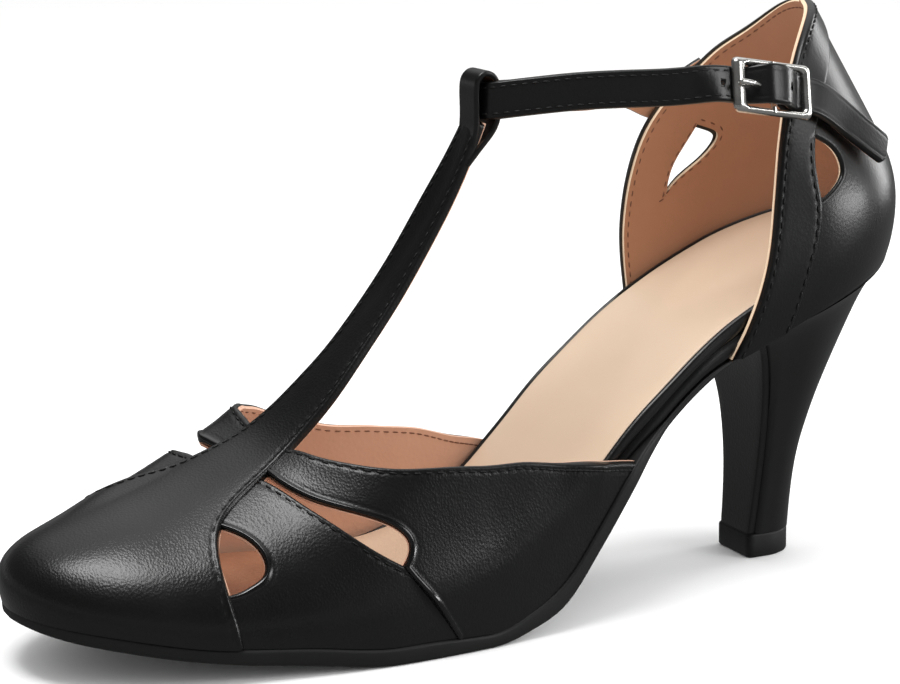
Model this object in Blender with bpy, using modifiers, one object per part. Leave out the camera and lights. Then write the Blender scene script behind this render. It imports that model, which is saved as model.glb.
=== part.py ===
"""T-strap cut-out pump, a left shoe in EU 38 with a 75 mm heel, as separate named solids.

Tables and sizes are in millimetres in the shoemaker's frame: along +X from the toe tip to the heel, the
outer side at -Y, the floor at Z 0. Meshes are in metres, with the origin under the middle of the shoe's box.
"""
import math

import bmesh
import bpy
import numpy as np
from mathutils import Matrix, Vector
from mathutils.geometry import delaunay_2d_cdt


class Table:
    """Smooth curves through the rows of a short table, one for each named column."""

    def __init__(self, columns, rows, rounded=False):
        data = np.array(rows, float)
        self.values = {name: data[:, i] for i, name in enumerate(columns)}
        self.rounded = rounded
        self.key = self.place(data[:, 0])

    def place(self, where):
        """Rounded tables run on the square root of the distance, so that a toe closes as a round nose."""
        where = np.asarray(where, float)
        return np.sqrt(np.clip(where, 0.0, None)) if self.rounded else where

    def at(self, name, where):
        key = self.key
        value = self.values[name]
        step = np.diff(key)
        slope = np.diff(value) / step
        middle = (step[1:] * slope[:-1] + step[:-1] * slope[1:]) / (step[1:] + step[:-1])
        middle = np.where(slope[:-1] * slope[1:] > 0.0, middle, 0.0)
        tangent = np.concatenate([slope[:1], middle, slope[-1:]])
        here = np.clip(self.place(where), key[0], key[-1])
        i = np.clip(np.searchsorted(key, here, side="right") - 1, 0, len(step) - 1)
        t = (here - key[i]) / step[i]
        start = value[i] * (1 + 2 * t) + tangent[i] * step[i] * t
        end = value[i + 1] * (3 - 2 * t) + tangent[i + 1] * step[i] * (t - 1)
        return start * (1 - t) ** 2 + end * t ** 2


# Frame and general sizes
MM = 0.001
ORIGIN = np.array([114.8, -0.6, 0.0])
GAP = 0.3
TOE_TIP = 3.0

# Levels under the foot: the sole's lower face (the heel's seat behind it) and the top of the sock
LEVELS = Table(("along", "floor", "sock"), (
    (0, 13.4, 18.6), (8, 11.3, 16.4), (20, 8.8, 14.2), (40, 5.0, 11.4), (60, 2.4, 9.6), (80, 0.0, 8.4),
    (102, 0.0, 10.6), (112, 1.9, 15.4), (122, 6.6, 23.4), (132, 18.6, 33.4), (142, 31.8, 43.4),
    (152, 41.9, 51.6), (162, 49.8, 59.1), (174, 56.4, 66.2), (190, 62.6, 73.6), (206, 68.0, 79.6),
    (230, 75.4, 87.6)))
SOLE_THICKNESS = Table(("along", "sole"), (
    (0, 2.0), (10, 3.0), (40, 3.5), (65, 4.2), (85, 4.2), (100, 3.5), (112, 2.8), (124, 2.4), (150, 2.3),
    (168, 1.4), (176, 0.0), (230, 0.0)))

# The last's front, in sections from the toe tip: half widths at the feather edge, crest and section fullness
LAST = Table(("along", "outer", "inner", "ridge", "crest", "wall", "crown_out", "crown_in"), (
    (0, 0.0, 0.0, 15.4, 0.0, 0.50, 0.60, 0.60),
    (1, 6.4, 6.4, 20.4, 0.0, 0.50, 0.60, 0.60),
    (4, 13.0, 13.0, 24.4, 0.5, 0.50, 0.60, 0.60),
    (9, 18.9, 18.9, 27.4, 1.0, 0.50, 0.60, 0.60),
    (16, 24.0, 24.0, 29.8, 2.0, 0.50, 0.60, 0.62),
    (25, 28.3, 28.6, 32.4, 3.5, 0.50, 0.58, 0.66),
    (36, 31.8, 32.5, 35.4, 6.0, 0.50, 0.55, 0.70),
    (49, 34.4, 35.5, 40.2, 8.0, 0.50, 0.52, 0.76),
    (62, 36.6, 36.6, 46.4, 8.0, 0.50, 0.50, 0.80),
    (78, 37.9, 35.4, 61.0, 4.0, 0.46, 0.48, 0.72),
    (97, 37.0, 31.6, 82.4, 1.0, 0.40, 0.44, 0.60),
    (112, 35.0, 28.4, 108.0, 0.0, 0.36, 0.42, 0.50),
    (118, 34.2, 27.4, 124.0, 0.0, 0.34, 0.40, 0.45),
    (147, 30.8, 25.4, 150.0, 0.0, 0.30, 0.40, 0.40),
    (170, 28.4, 26.6, 150.0, 0.0, 0.30, 0.40, 0.40)), rounded=True)
TOE_LEAN = 0.30
TOE_LEAN_END = 60.0
WALL_BULGE = 1.6
BULGE_FULL_AT = 20.0
# Swell of the instep's inner side above the crest line
SWELL = Table(("along", "swell"), (
    (0, 0.0), (16, 0.0), (27, 1.2), (36, 2.0), (47, 2.9), (54, 3.0), (62, 4.2), (70, 3.6), (80, 3.4),
    (97, 4.6), (105, 6.4), (110, 5.2), (115, 0.8), (147, 0.8)))
SWELL_FADE = 8
SWELL_PEAK = 0.2 ** 2 * 0.8 ** SWELL_FADE

# The last's back, in plan curves above the seat: back end, half width and length of the round part
QUARTER = Table(("rise", "back", "half", "depth"), (
    (0, 225.0, 26.8, 34.0), (8, 227.0, 28.3, 34.0), (16, 227.4, 28.9, 34.0), (24, 225.6, 28.5, 33.5),
    (33, 221.0, 27.0, 33.0), (42, 215.8, 24.9, 32.0), (52, 210.0, 22.4, 31.0), (62, 204.2, 20.0, 30.0)))
QUARTER_ARC = 48.2

# Upper: wall thickness, and how far the toe piece and the bands stand proud
WALL = 1.8
STEP = 0.7
STEP_SLOPE = 0.6
VAMP_MESH = 5.6
VAMP_LENGTH = 147.0
TOE_POINT = 0.02
PATTERN_STATIONS = 300
PATTERN_SAMPLES = 24
EDGE_MESH = 0.75
HOLE_MESH = 0.52
QUARTER_MESH = 5.2

# Edges of the toe piece and T-strap, from the feather edge to the strap's top, as (along, share) rows:
# along is from the toe tip, share is 0 on the crest and 1 at the feather edge
TOE_EDGE_OUT = ((42.2, 1.0), (41.0, 0.80), (40.9, 0.60), (43.6, 0.43), (50.0, 0.34), (58.0, 0.283),
                (66.0, 0.245), (74.6, 0.211), (86.0, 0.152), (97.0, 0.110), (105.0, 0.092), (114.1, 0.096))
TOE_EDGE_IN = ((27.5, 1.0), (25.5, 0.80), (24.8, 0.60), (25.3, 0.42), (26.6, 0.29), (29.0, 0.21),
               (33.5, 0.145), (38.0, 0.097), (42.0, 0.06), (50.0, 0.022), (58.0, 0.015), (65.0, 0.012),
               (72.0, 0.024), (78.0, 0.034), (84.0, 0.058), (90.0, 0.086), (97.0, 0.108), (105.0, 0.116),
               (110.0, 0.108), (114.1, 0.098))
# Topline of the side panels, from the strap down to the feather edge
TOPLINE_OUT = ((63.7, 0.256), (66.8, 0.335), (72.8, 0.444), (81.8, 0.545), (92.6, 0.615), (104.2, 0.682),
               (116.3, 0.763), (128.7, 0.867), (133.9, 0.92), (140.5, 1.0))
TOPLINE_IN = ((60.9, 0.014), (60.8, 0.063), (60.6, 0.10), (60.7, 0.15), (61.4, 0.20), (62.6, 0.23),
              (64.2, 0.274), (66.9, 0.328), (71.7, 0.422), (81.1, 0.558), (86.4, 0.612), (98.9, 0.687),
              (113.4, 0.782), (123.4, 0.868), (134.0, 1.0))
# Cut-outs of the vamp
TEAR_OUT = ((45.2, 0.455), (43.2, 0.52), (42.4, 0.60), (42.6, 0.705), (45.3, 0.708), (48.6, 0.675),
            (49.5, 0.63), (48.9, 0.575), (46.9, 0.49))
TEAR_IN = ((29.2, 0.44), (27.4, 0.52), (26.7, 0.60), (26.9, 0.705), (29.8, 0.708), (33.1, 0.675),
           (34.0, 0.63), (33.4, 0.565), (31.2, 0.475))
SLIT_OUT = ((58.4, 0.36), (62.5, 0.462), (68.2, 0.556), (75.3, 0.643), (78.9, 0.691), (80.6, 0.73),
            (79.9, 0.765), (77.8, 0.775), (75.8, 0.748), (70.4, 0.671), (65.6, 0.578), (61.3, 0.478))
SLIT_IN = ((50.7, 0.10), (50.7, 0.15), (52.6, 0.24), (57.0, 0.33), (61.5, 0.41), (67.0, 0.50), (71.0, 0.57),
           (73.0, 0.62), (72.4, 0.67), (70.2, 0.69), (65.5, 0.635), (58.5, 0.53), (53.0, 0.42), (48.5, 0.31),
           (46.4, 0.22), (46.2, 0.163), (47.4, 0.105))

# Front edge and topline of the quarter, from the outer seat over the back to the inner seat, as rows of
# girth, round the back from its middle, and rise above the seat
QUARTER_EDGE = ((-69.0, 0.0), (-65.7, 12.6), (-59.9, 25.6), (-54.2, 34.1), (-48.1, 42.5), (-41.0, 50.3),
                (-33.0, 56.2), (-24.0, 59.8), (-12.0, 61.6), (0.0, 61.9), (12.0, 60.6), (25.3, 56.8),
                (33.8, 54.6), (41.5, 51.4), (50.0, 48.0), (58.0, 42.5), (62.9, 36.9), (67.6, 29.5),
                (70.5, 22.5), (70.8, 12.0), (68.5, 0.0))
# Seam of the front bands, from the seat past the cut-out to the topline
BAND_SEAM_OUT = ((-54.3, 0.0), (-52.8, 11.0), (-49.1, 20.6), (-46.2, 27.4), (-44.4, 32.0), (-42.6, 36.0),
                 (-39.2, 41.0), (-31.0, 47.5), (-19.5, 53.0), (-11.0, 61.7))
BAND_SEAM_IN = ((57.5, 0.0), (58.5, 10.0), (58.0, 20.0), (55.9, 27.0), (52.4, 32.3), (48.4, 36.4),
                (43.8, 39.4), (33.0, 45.0), (21.0, 51.0), (11.5, 60.7))
CUT_OUT = ((-39.2, 39.4), (-36.9, 35.1), (-37.6, 31.2), (-41.2, 28.8), (-45.0, 28.1), (-43.6, 32.0),
           (-41.9, 35.6))
CUT_IN = ((43.6, 37.8), (40.9, 34.9), (43.0, 31.6), (49.0, 29.0), (54.6, 27.4), (51.4, 32.2), (47.6, 35.7))

# Sole and insole edges; the insole's top edge stands out over its foot at the open waist
SOLE_PROUD = Table(("along", "edge"), ((0, 0.5), (100, 0.6), (122, -0.8), (140, -3.2), (176, -3.2)))
SOLE_END = 171.6
SOLE_ROUND = 0.9
SOLE_STATIONS = 44
INSOLE_INSET = WALL + 2 * GAP
INSOLE_START = 3.0
INSOLE_STATIONS = 46
INSET_FADE = 30.0
WAIST = Table(("along", "outer", "inner", "flare"), (
    (100, 34.4, 29.0, 0.0), (112, 32.6, 26.2, 0.1), (120, 31.4, 24.9, 0.5), (135, 29.2, 23.9, 1.4),
    (143, 28.4, 24.4, 1.6), (152, 27.6, 25.0, 1.6), (160, 26.8, 25.4, 1.6), (168, 26.0, 25.6, 1.6),
    (176, 25.9, 25.8, 1.6), (184, 26.0, 26.0, 1.6), (191, 26.1, 26.1, 1.6)))
WAIST_START = 94.0
WAIST_FULL = 106.0
SEAT_CENTRE = 191.0
SEAT_BACK = 223.2
LEAST_HALF = 0.3
SOCK_THICKNESS = 1.3
SOCK_INSET = 1.6
SOCK_ROUND = 0.5
SOCK_STATIONS = 44
COVER_ROUND = 1.2

# Heel block in plan sections from the lift to the seat (seat: how far a section follows the seat's slope)
HEEL = Table(("level", "front", "back", "half", "seat"), (
    (6.3, 186.6, 200.6, 7.6, 0.0), (14, 187.4, 201.1, 8.2, 0.0), (22, 188.0, 202.0, 9.0, 0.0),
    (30, 188.2, 203.9, 10.1, 0.0), (38, 187.8, 207.4, 11.8, 0.05), (45, 186.2, 211.4, 14.4, 0.15),
    (51, 183.2, 215.4, 18.2, 0.35), (57, 178.6, 219.8, 22.8, 0.7), (63, 172.2, 224.8, 26.9, 1.0)))
HEEL_ROUND_FROM = 0.36
HEEL_LEVELS = (6.3, 10.0, 14.0, 18.0, 22.0, 26.0, 30.0, 34.0, 38.0, 41.5, 45.0, 48.0, 51.0, 54.0, 57.0, 60.0,
               63.0)
HEEL_POINTS = 20
LIFT_FRONT = 186.2
LIFT_BACK = 200.6
LIFT_HALF = 7.6
LIFT_HEIGHT = 6.0
FLAP_THICKNESS = 1.5
FLAP_INSET = 0.9

# Ankle strap and buckle
STRAP_WIDTH = 8.6
STRAP_THICKNESS = 1.8
STRAP_LIE = GAP + STRAP_THICKNESS / 2
LOOP_CENTRE = (118.95, 0.0, 117.0)
LOOP_PASSAGE = (3.9, 8.0, 10.0)
LOOP_WALL = 1.5
LOOP_SOFT = 0.8
INNER_RUN = ((172.0, 25.6, 112.6), (160.0, 23.4, 113.4), (148.0, 19.2, 114.4), (135.0, 13.4, 115.6),
             (128.0, 10.4, 116.3), (122.4, 7.4, 116.8))
LOOP_RUN = ((119.35, 4.4, 116.9), (118.55, 2.2, 117.0), (118.35, 0.0, 117.0), (118.55, -2.2, 117.0),
            (119.35, -4.4, 117.2))
OUTER_RUN = ((122.4, -7.6, 117.8), (128.0, -11.4, 118.6), (135.0, -15.0, 119.3), (147.0, -20.2, 119.7),
             (158.0, -23.8, 119.9))
RUN_LEAN = 0.08
BUCKLE_CENTRE = np.array([179.6, -27.4, 118.4])
BUCKLE_ALONG = np.array([0.985, 0.03, -0.175])
BUCKLE_OUT = np.array([0.05, -0.95, 0.36])
FRAME_LENGTH = 21.4
FRAME_HEIGHT = 13.0
FRAME_THICKNESS = 1.5
FRAME_BAR = 1.8
FRAME_BACK_BAR = 2.4
FRAME_WIDE_BAR = 3.4
FRAME_MIDDLE_BAR = 1.5
FRAME_BEVEL = 0.35
WEAVE = FRAME_THICKNESS / 2 + STRAP_THICKNESS / 2 + GAP
WEAVE_ROWS = ((-13.5, -1.0), (-10.6, -1.0), (-7.4, -1.0), (-4.4, 0.0), (-1.6, 1.0), (0.0, 1.06), (1.6, 1.0),
              (4.8, 0.0), (8.0, -1.0), (11.0, -1.06))
INNER_ROOT = ((37.0, 48.8, 0.0), (43.0, 47.4, 0.0), (48.5, 46.2, 0.0))
FREE_END = ((-31.9, 40.0, 0.2), (-29.4, 34.8, 0.8), (-26.9, 29.8, 1.7))
STRAP_STEP = 3.2
PRONG_RADIUS = 0.65
PRONG_ROWS = ((-1.75, 0.0), (-4.0, 0.5), (-6.0, 1.4), (-7.4, 1.8), (-9.6, 1.85), (-11.0, 1.85))
PRONG_STEP = 1.2
PRONG_SIDES = 10
SLOT_LENGTH = 6.6
SLOT_MIDDLE = -4.6
SLOT_WIDTH = 2.0
TAB_THICKNESS = 0.9
TAB_ROOT = ((-39.2, 47.9), (-41.8, 48.6))
TAB_WIDTH = 7.0
TAB_STEP = 2.4
TAB_REACH = 2.2

# Finishes: colour, roughness, metallic
BLACK_LEATHER = ("black_leather", (0.012, 0.012, 0.013), 0.38, 0.0)
BLACK_RUBBER = ("black_rubber", (0.010, 0.010, 0.010), 0.62, 0.0)
HEEL_COVER = ("heel_cover", (0.011, 0.011, 0.012), 0.36, 0.0)
BEIGE_SOCK = ("beige_sock", (0.70, 0.47, 0.31), 0.55, 0.0)
STEEL = ("polished_steel", (0.78, 0.78, 0.77), 0.16, 1.0)


# General geometry
TINY = 1e-12
NEAR_CREST = 1e-6
PROBE = 0.02
SHARP_DEGREES = 40
CORNER_SHARE = 0.6
CORNER_MOST = 0.6
SLAB_SOFT = 0.4


def feather(along):
    """Height of the feather edge, where upper and sole meet."""
    return LEVELS.at("floor", along) + SOLE_THICKNESS.at("sole", along)


def bezier(t, a, b, c, d):
    return a * (1 - t) ** 3 + 3 * b * t * (1 - t) ** 2 + 3 * c * t ** 2 * (1 - t) + d * t ** 3


def vamp_surface(along, share):
    """The last's front: share runs from -1 at the outer feather edge over 0 on the crest to 1 inside."""
    along, share = np.broadcast_arrays(np.asarray(along, float), np.asarray(share, float))
    outer = share < 0
    half = np.where(outer, -LAST.at("outer", along), LAST.at("inner", along))
    crown = np.where(outer, LAST.at("crown_out", along), LAST.at("crown_in", along))
    crest = LAST.at("crest", along)
    low = feather(along + TOE_TIP)
    high = LAST.at("ridge", along)
    t = 1 - np.abs(share)
    bulge = WALL_BULGE * np.sign(half) * np.minimum(1, np.abs(half) / BULGE_FULL_AT)
    y = bezier(t, half, half + bulge, crest + crown * (half - crest), crest)
    z = bezier(t, low, low + LAST.at("wall", along) * (high - low), high, high)
    inner = np.clip(share, 0, 1)
    z = z + SWELL.at("swell", along) * inner ** 2 * (1 - inner) ** SWELL_FADE / SWELL_PEAK
    lean = TOE_LEAN * np.clip(1 - along / TOE_LEAN_END, 0, 1) ** 2
    return np.stack([along + TOE_TIP - lean * (z - low), y, z], -1)


def quarter_surface(girth, rise):
    """The last's back: girth runs from the outer side round the heel to the inner, rise goes up."""
    girth, rise = np.broadcast_arrays(np.asarray(girth, float), np.asarray(rise, float))
    turn = np.clip(np.abs(girth) / QUARTER_ARC, 0, 1) * math.pi / 2
    run = np.clip(np.abs(girth) - QUARTER_ARC, 0, None)
    seat_x = QUARTER.at("back", 0) - QUARTER.at("depth", 0) * (1 - np.cos(turn)) - run
    x = QUARTER.at("back", rise) - QUARTER.at("depth", rise) * (1 - np.cos(turn)) - run
    y = np.sign(girth) * QUARTER.at("half", rise) * np.sin(turn)
    return np.stack([x, y, feather(seat_x) + rise], -1)


def outward(surface, u, v):
    """Unit normals of a surface, pointing out of the shoe."""
    small = PROBE
    du = surface(u + small, v) - surface(u - small, v)
    dv = surface(u, v + small / 10) - surface(u, v - small / 10)
    normal = np.cross(du, dv)
    return normal / np.maximum(np.linalg.norm(normal, axis=-1, keepdims=True), TINY)


def smooth_path(points, spacing):
    """Evenly spaced points on a smooth curve through the given points."""
    points = np.array(points, float)
    chord = np.concatenate([[0.0], np.cumsum(np.linalg.norm(np.diff(points, axis=0), axis=1))])
    names = tuple("abcdefgh"[:points.shape[1]])
    curve = Table(("chord",) + names, np.column_stack([chord, points]))
    count = max(2, int(math.ceil(chord[-1] / spacing)) + 1)
    where = np.linspace(0, chord[-1], count)
    return np.column_stack([curve.at(name, where) for name in names])


# Scene helpers
def finish(name, colour, roughness, metallic):
    material = bpy.data.materials.get(name) or bpy.data.materials.new(name)
    material.use_nodes = True
    shader = material.node_tree.nodes["Principled BSDF"]
    shader.inputs["Base Color"].default_value = (*colour, 1.0)
    shader.inputs["Roughness"].default_value = roughness
    shader.inputs["Metallic"].default_value = metallic
    return material


def collection(name):
    group = bpy.data.collections.new(name)
    bpy.context.scene.collection.children.link(group)
    return group


def add_object(name, mesh, group, look=None):
    thing = bpy.data.objects.new(name, mesh)
    group.objects.link(thing)
    if look:
        mesh.materials.append(finish(*look))
    return thing


def to_metres(points):
    return (np.asarray(points, float) - ORIGIN) * MM


def mesh_from(name, points, faces):
    """A mesh with smooth shading and sharp edges where the faces turn sharply."""
    mesh = bpy.data.meshes.new(name)
    mesh.from_pydata(to_metres(points).tolist(), [], faces)
    form = bmesh.new()
    form.from_mesh(mesh)
    bmesh.ops.recalc_face_normals(form, faces=form.faces)
    form.to_mesh(mesh)
    form.free()
    mesh.shade_smooth()
    mesh.set_sharp_from_angle(angle=math.radians(SHARP_DEGREES))
    return mesh


def loft(name, rings, group, look):
    """A closed solid through rings of equally many points, with a flat cap on each end."""
    count = len(rings[0])
    points = np.concatenate(rings)
    faces = []
    for i in range(len(rings) - 1):
        for j in range(count):
            k = (j + 1) % count
            faces.append((i * count + j, i * count + k, (i + 1) * count + k, (i + 1) * count + j))
    faces.append(tuple(range(count)))
    last = (len(rings) - 1) * count
    faces.append(tuple(last + j for j in range(count)))
    return add_object(name, mesh_from(name, points, faces), group, look)


def ribbon(name, points, normals, width, thickness, group, look):
    """A strap with softened edges along a path, its face turned to the normals; width may vary along it."""
    points = np.asarray(points, float)
    tangent = np.gradient(points, axis=0)
    tangent /= np.linalg.norm(tangent, axis=1, keepdims=True)
    across = np.cross(tangent, normals)
    across /= np.linalg.norm(across, axis=1, keepdims=True)
    face = np.cross(across, tangent)
    half_width = np.broadcast_to(np.asarray(width, float) / 2, len(points))
    half = thickness / 2
    soft = min(half * CORNER_SHARE, CORNER_MOST)
    corners = ((1, 1, 0, soft), (1, 1, soft, 0), (-1, 1, soft, 0), (-1, 1, 0, soft),
               (-1, -1, 0, soft), (-1, -1, soft, 0), (1, -1, soft, 0), (1, -1, 0, soft))
    rings = []
    for p, a, f, w in zip(points, across, face, half_width):
        rings.append([p + a * sa * (w - ca) + f * sf * (half - cf) for sa, sf, ca, cf in corners])
    return loft(name, np.array(rings), group, look)


# Pattern pieces: a flat outline with holes, laid on a surface of the last
class FlatPattern:
    """Maps a surface's own coordinates to flat millimetres and back, side by side with the crest line."""

    def __init__(self, surface, stations, side_samples):
        self.stations = stations
        share = np.linspace(0, 1, side_samples)
        crest = surface(stations, np.zeros_like(stations))
        self.run = np.concatenate([[0.0], np.cumsum(np.linalg.norm(np.diff(crest, axis=0), axis=1))])
        grid_u, grid_v = np.meshgrid(stations, share, indexing="ij")
        girths = []
        for sign in (-1, 1):
            rows = surface(grid_u, sign * np.maximum(grid_v, NEAR_CREST))
            girths.append(np.linalg.norm(np.diff(rows, axis=1), axis=2).sum(axis=1))
        self.girth_out, self.girth_in = girths

    def girth(self, along, share):
        out = np.interp(along, self.stations, self.girth_out)
        inner = np.interp(along, self.stations, self.girth_in)
        return np.maximum(np.where(share < 0, out, inner), TINY)

    def flat(self, places):
        along, share = np.asarray(places, float).T
        return np.column_stack([np.interp(along, self.stations, self.run), share * self.girth(along, share)])

    def place(self, flat):
        run, across = np.asarray(flat, float).T
        along = np.interp(run, self.run, self.stations)
        return np.column_stack([along, np.clip(across / self.girth(along, across), -1, 1)])


class SamePattern:
    """For a surface whose own coordinates are already close to flat millimetres."""

    def flat(self, places):
        return np.asarray(places, float)

    def place(self, flat):
        return np.asarray(flat, float)


def inside_polygon(points, polygon):
    """Even-odd test of points against a closed polygon."""
    x, y = np.asarray(points, float).T
    inside = np.zeros(len(x), bool)
    start = np.asarray(polygon, float)
    end = np.roll(start, -1, axis=0)
    for (ax, ay), (bx, by) in zip(start, end):
        crosses = (ay > y) != (by > y)
        reach = ax + (y - ay) * (bx - ax) / (by - ay if by != ay else TINY)
        inside ^= crosses & (x < reach)
    return inside


def distance_to(points, line):
    """Distance of each point to a polyline."""
    points = np.asarray(points, float)[:, None, :]
    start = np.asarray(line, float)[:-1]
    run = np.asarray(line, float)[1:] - start
    share = np.sum((points - start) * run, axis=2) / np.maximum(np.sum(run * run, axis=1), TINY)
    foot = start + np.clip(share, 0, 1)[:, :, None] * run
    return np.linalg.norm(points - foot, axis=2).min(axis=1)


def offset_line(line, distance):
    """A polyline moved sideways, to its left where the distance is positive."""
    run = np.gradient(line, axis=0)
    run /= np.linalg.norm(run, axis=1, keepdims=True)
    return line + distance * np.column_stack([-run[:, 1], run[:, 0]])


def triangulate(outline, holes, lines, spacing):
    """Triangles of an outline with holes and inner lines, close to evenly spaced (flat millimetres)."""
    closed = [np.vstack([loop, loop[:1]]) for loop in [outline] + holes]
    borders = closed + lines
    low = outline.min(axis=0)
    high = outline.max(axis=0)
    rows = np.arange(low[1], high[1], spacing * math.sqrt(0.75))
    grid = []
    for i, across in enumerate(rows):
        first = low[0] + (spacing / 2 if i % 2 else 0)
        grid += [(along, across) for along in np.arange(first, high[0], spacing)]
    grid = np.array(grid)
    keep = inside_polygon(grid, outline)
    for hole in holes:
        keep &= ~inside_polygon(grid, hole)
    grid = grid[keep]
    for border in borders:
        grid = grid[distance_to(grid, border) > spacing * 0.5]
    points = []
    edges = []
    for loop in [outline] + holes:
        first = len(points)
        points += list(loop)
        edges += [(first + i, first + (i + 1) % len(loop)) for i in range(len(loop))]
    for line in lines:
        first = len(points)
        points += list(line)
        edges += [(first + i, first + i + 1) for i in range(len(line) - 1)]
    points += list(grid)
    result = delaunay_2d_cdt([Vector(p) for p in points], edges, [], 0, 1e-5)
    flat = np.array([tuple(p) for p in result[0]])
    faces = np.array([tuple(face) for face in result[2]])
    middle = flat[faces].mean(axis=1)
    keep = inside_polygon(middle, outline)
    for hole in holes:
        keep &= ~inside_polygon(middle, hole)
    faces = faces[keep]
    used = np.unique(faces)
    renumber = np.full(len(flat), -1)
    renumber[used] = np.arange(len(used))
    return flat[used], renumber[faces]


def lasted_piece(name, surface, pattern, outline, holes, raised, lines, spacing, group, look):
    """One wall of the upper: a pattern laid on the last, thicker where a raised panel covers it."""
    flat, faces = triangulate(outline, holes, lines, spacing)
    place = pattern.place(flat)
    skin = surface(place[:, 0], place[:, 1])
    normal = outward(surface, place[:, 0], place[:, 1])
    inner = skin - WALL * normal
    proud = np.zeros(len(flat), bool)
    for panel in raised:
        proud |= inside_polygon(flat, panel)
        proud |= distance_to(flat, np.vstack([panel, panel[:1]])) < STEP_SLOPE / 4
    mesh = mesh_from(name, inner, faces.tolist())
    if sum(Vector(n).dot(v.normal) for n, v in zip(normal, mesh.vertices)) < 0:
        mesh.flip_normals()
    thing = add_object(name, mesh, group, look)
    weights = thing.vertex_groups.new(name="raised")
    weights.add(np.flatnonzero(proud).tolist(), 1.0, "REPLACE")
    wall = thing.modifiers.new("wall", "SOLIDIFY")
    wall.thickness = (WALL + STEP) * MM
    wall.offset = 1.0
    wall.vertex_group = weights.name
    wall.thickness_vertex_group = WALL / (WALL + STEP)
    return thing


def signed(rows, sign):
    """A pattern table's rows on the outer (-1) or inner (1) side."""
    return np.array([(along, sign * share) for along, share in rows])


def closed_curve(points, spacing):
    """Evenly spaced points on a smooth closed curve through the given points, first corner kept sharp."""
    return smooth_path(np.vstack([points, points[:1]]), spacing)[:-1]


# The pieces
def vamp(group, cutters):
    """Front of the upper, with toe piece, T-strap, loop and cut-outs."""
    stations = np.linspace(0, math.sqrt(VAMP_LENGTH), PATTERN_STATIONS) ** 2
    pattern = FlatPattern(vamp_surface, stations, PATTERN_SAMPLES)
    spacing = VAMP_MESH * EDGE_MESH
    edge_out = smooth_path(pattern.flat(signed(TOE_EDGE_OUT, -1)), spacing)
    edge_in = smooth_path(pattern.flat(signed(TOE_EDGE_IN, 1)), spacing)
    top_out = smooth_path(pattern.flat(signed(TOPLINE_OUT, -1)), spacing)
    top_in = smooth_path(pattern.flat(signed(TOPLINE_IN, 1)), spacing)

    def feather_line(start, end, sign):
        count = int(abs(end - start) / spacing) + 6
        along = np.linspace(math.sqrt(start), math.sqrt(end), count) ** 2
        return pattern.flat(np.column_stack([along, np.full(count, float(sign))]))

    strap_out = edge_out[edge_out[:, 0] > top_out[0, 0] + 1.0]
    strap_in = edge_in[edge_in[:, 0] > top_in[0, 0] + 1.0]
    outer_foot = feather_line(TOPLINE_OUT[-1][0], TOE_POINT, -1)[1:]
    inner_foot = feather_line(TOE_POINT, TOPLINE_IN[-1][0], 1)
    outline = np.vstack([top_out, outer_foot, inner_foot, top_in[::-1][1:], strap_in, strap_out[::-1]])
    toe_foot = np.vstack([feather_line(TOE_EDGE_OUT[0][0], TOE_POINT, -1),
                          feather_line(TOE_POINT, TOE_EDGE_IN[0][0], 1)])
    toe_piece = np.vstack([edge_out[::-1], toe_foot[1:-1], edge_in])
    lines = []
    for edge, top, side in ((edge_out, top_out, 1), (edge_in, top_in, -1)):
        seam = edge[edge[:, 0] < top[0, 0] + 1.0]
        lines.append(seam)
        lines.append(offset_line(seam, -side * STEP_SLOPE)[1:-2])
    holes = [closed_curve(pattern.flat(signed(rows, sign)), VAMP_MESH * HOLE_MESH)
             for rows, sign in ((TEAR_OUT, -1), (SLIT_OUT, -1), (TEAR_IN, 1), (SLIT_IN, 1))]
    front = lasted_piece("vamp", vamp_surface, pattern, outline, holes, [toe_piece], lines, VAMP_MESH, group,
                         BLACK_LEATHER)
    join_loop(front, cutters)
    return front


def join_loop(front, cutters):
    """The strap's top end folded back as a loop for the ankle strap."""
    depth, width, height = LOOP_PASSAGE
    loop = box("loop", (depth + 2 * LOOP_WALL, width, height + 2 * LOOP_WALL), LOOP_CENTRE, cutters)
    soften = loop.modifiers.new("soft", "BEVEL")
    soften.width = LOOP_WALL * LOOP_SOFT * MM
    soften.segments = 2
    passage = box("loop_passage", (depth, width * 2, height), LOOP_CENTRE, cutters)
    boolean(loop, passage, "DIFFERENCE")
    boolean(front, loop, "UNION")


def box(name, size, centre, group):
    """A box with its scale applied, placed by its centre."""
    mesh = bpy.data.meshes.new(name)
    form = bmesh.new()
    bmesh.ops.create_cube(form, size=1.0)
    bmesh.ops.scale(form, vec=Vector(size) * MM, verts=form.verts)
    form.to_mesh(mesh)
    form.free()
    thing = add_object(name, mesh, group)
    thing.location = to_metres(centre)
    return thing


def boolean(thing, other, operation):
    step = thing.modifiers.new(operation.lower(), "BOOLEAN")
    step.object = other
    step.operation = operation
    step.solver = "EXACT"


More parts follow.
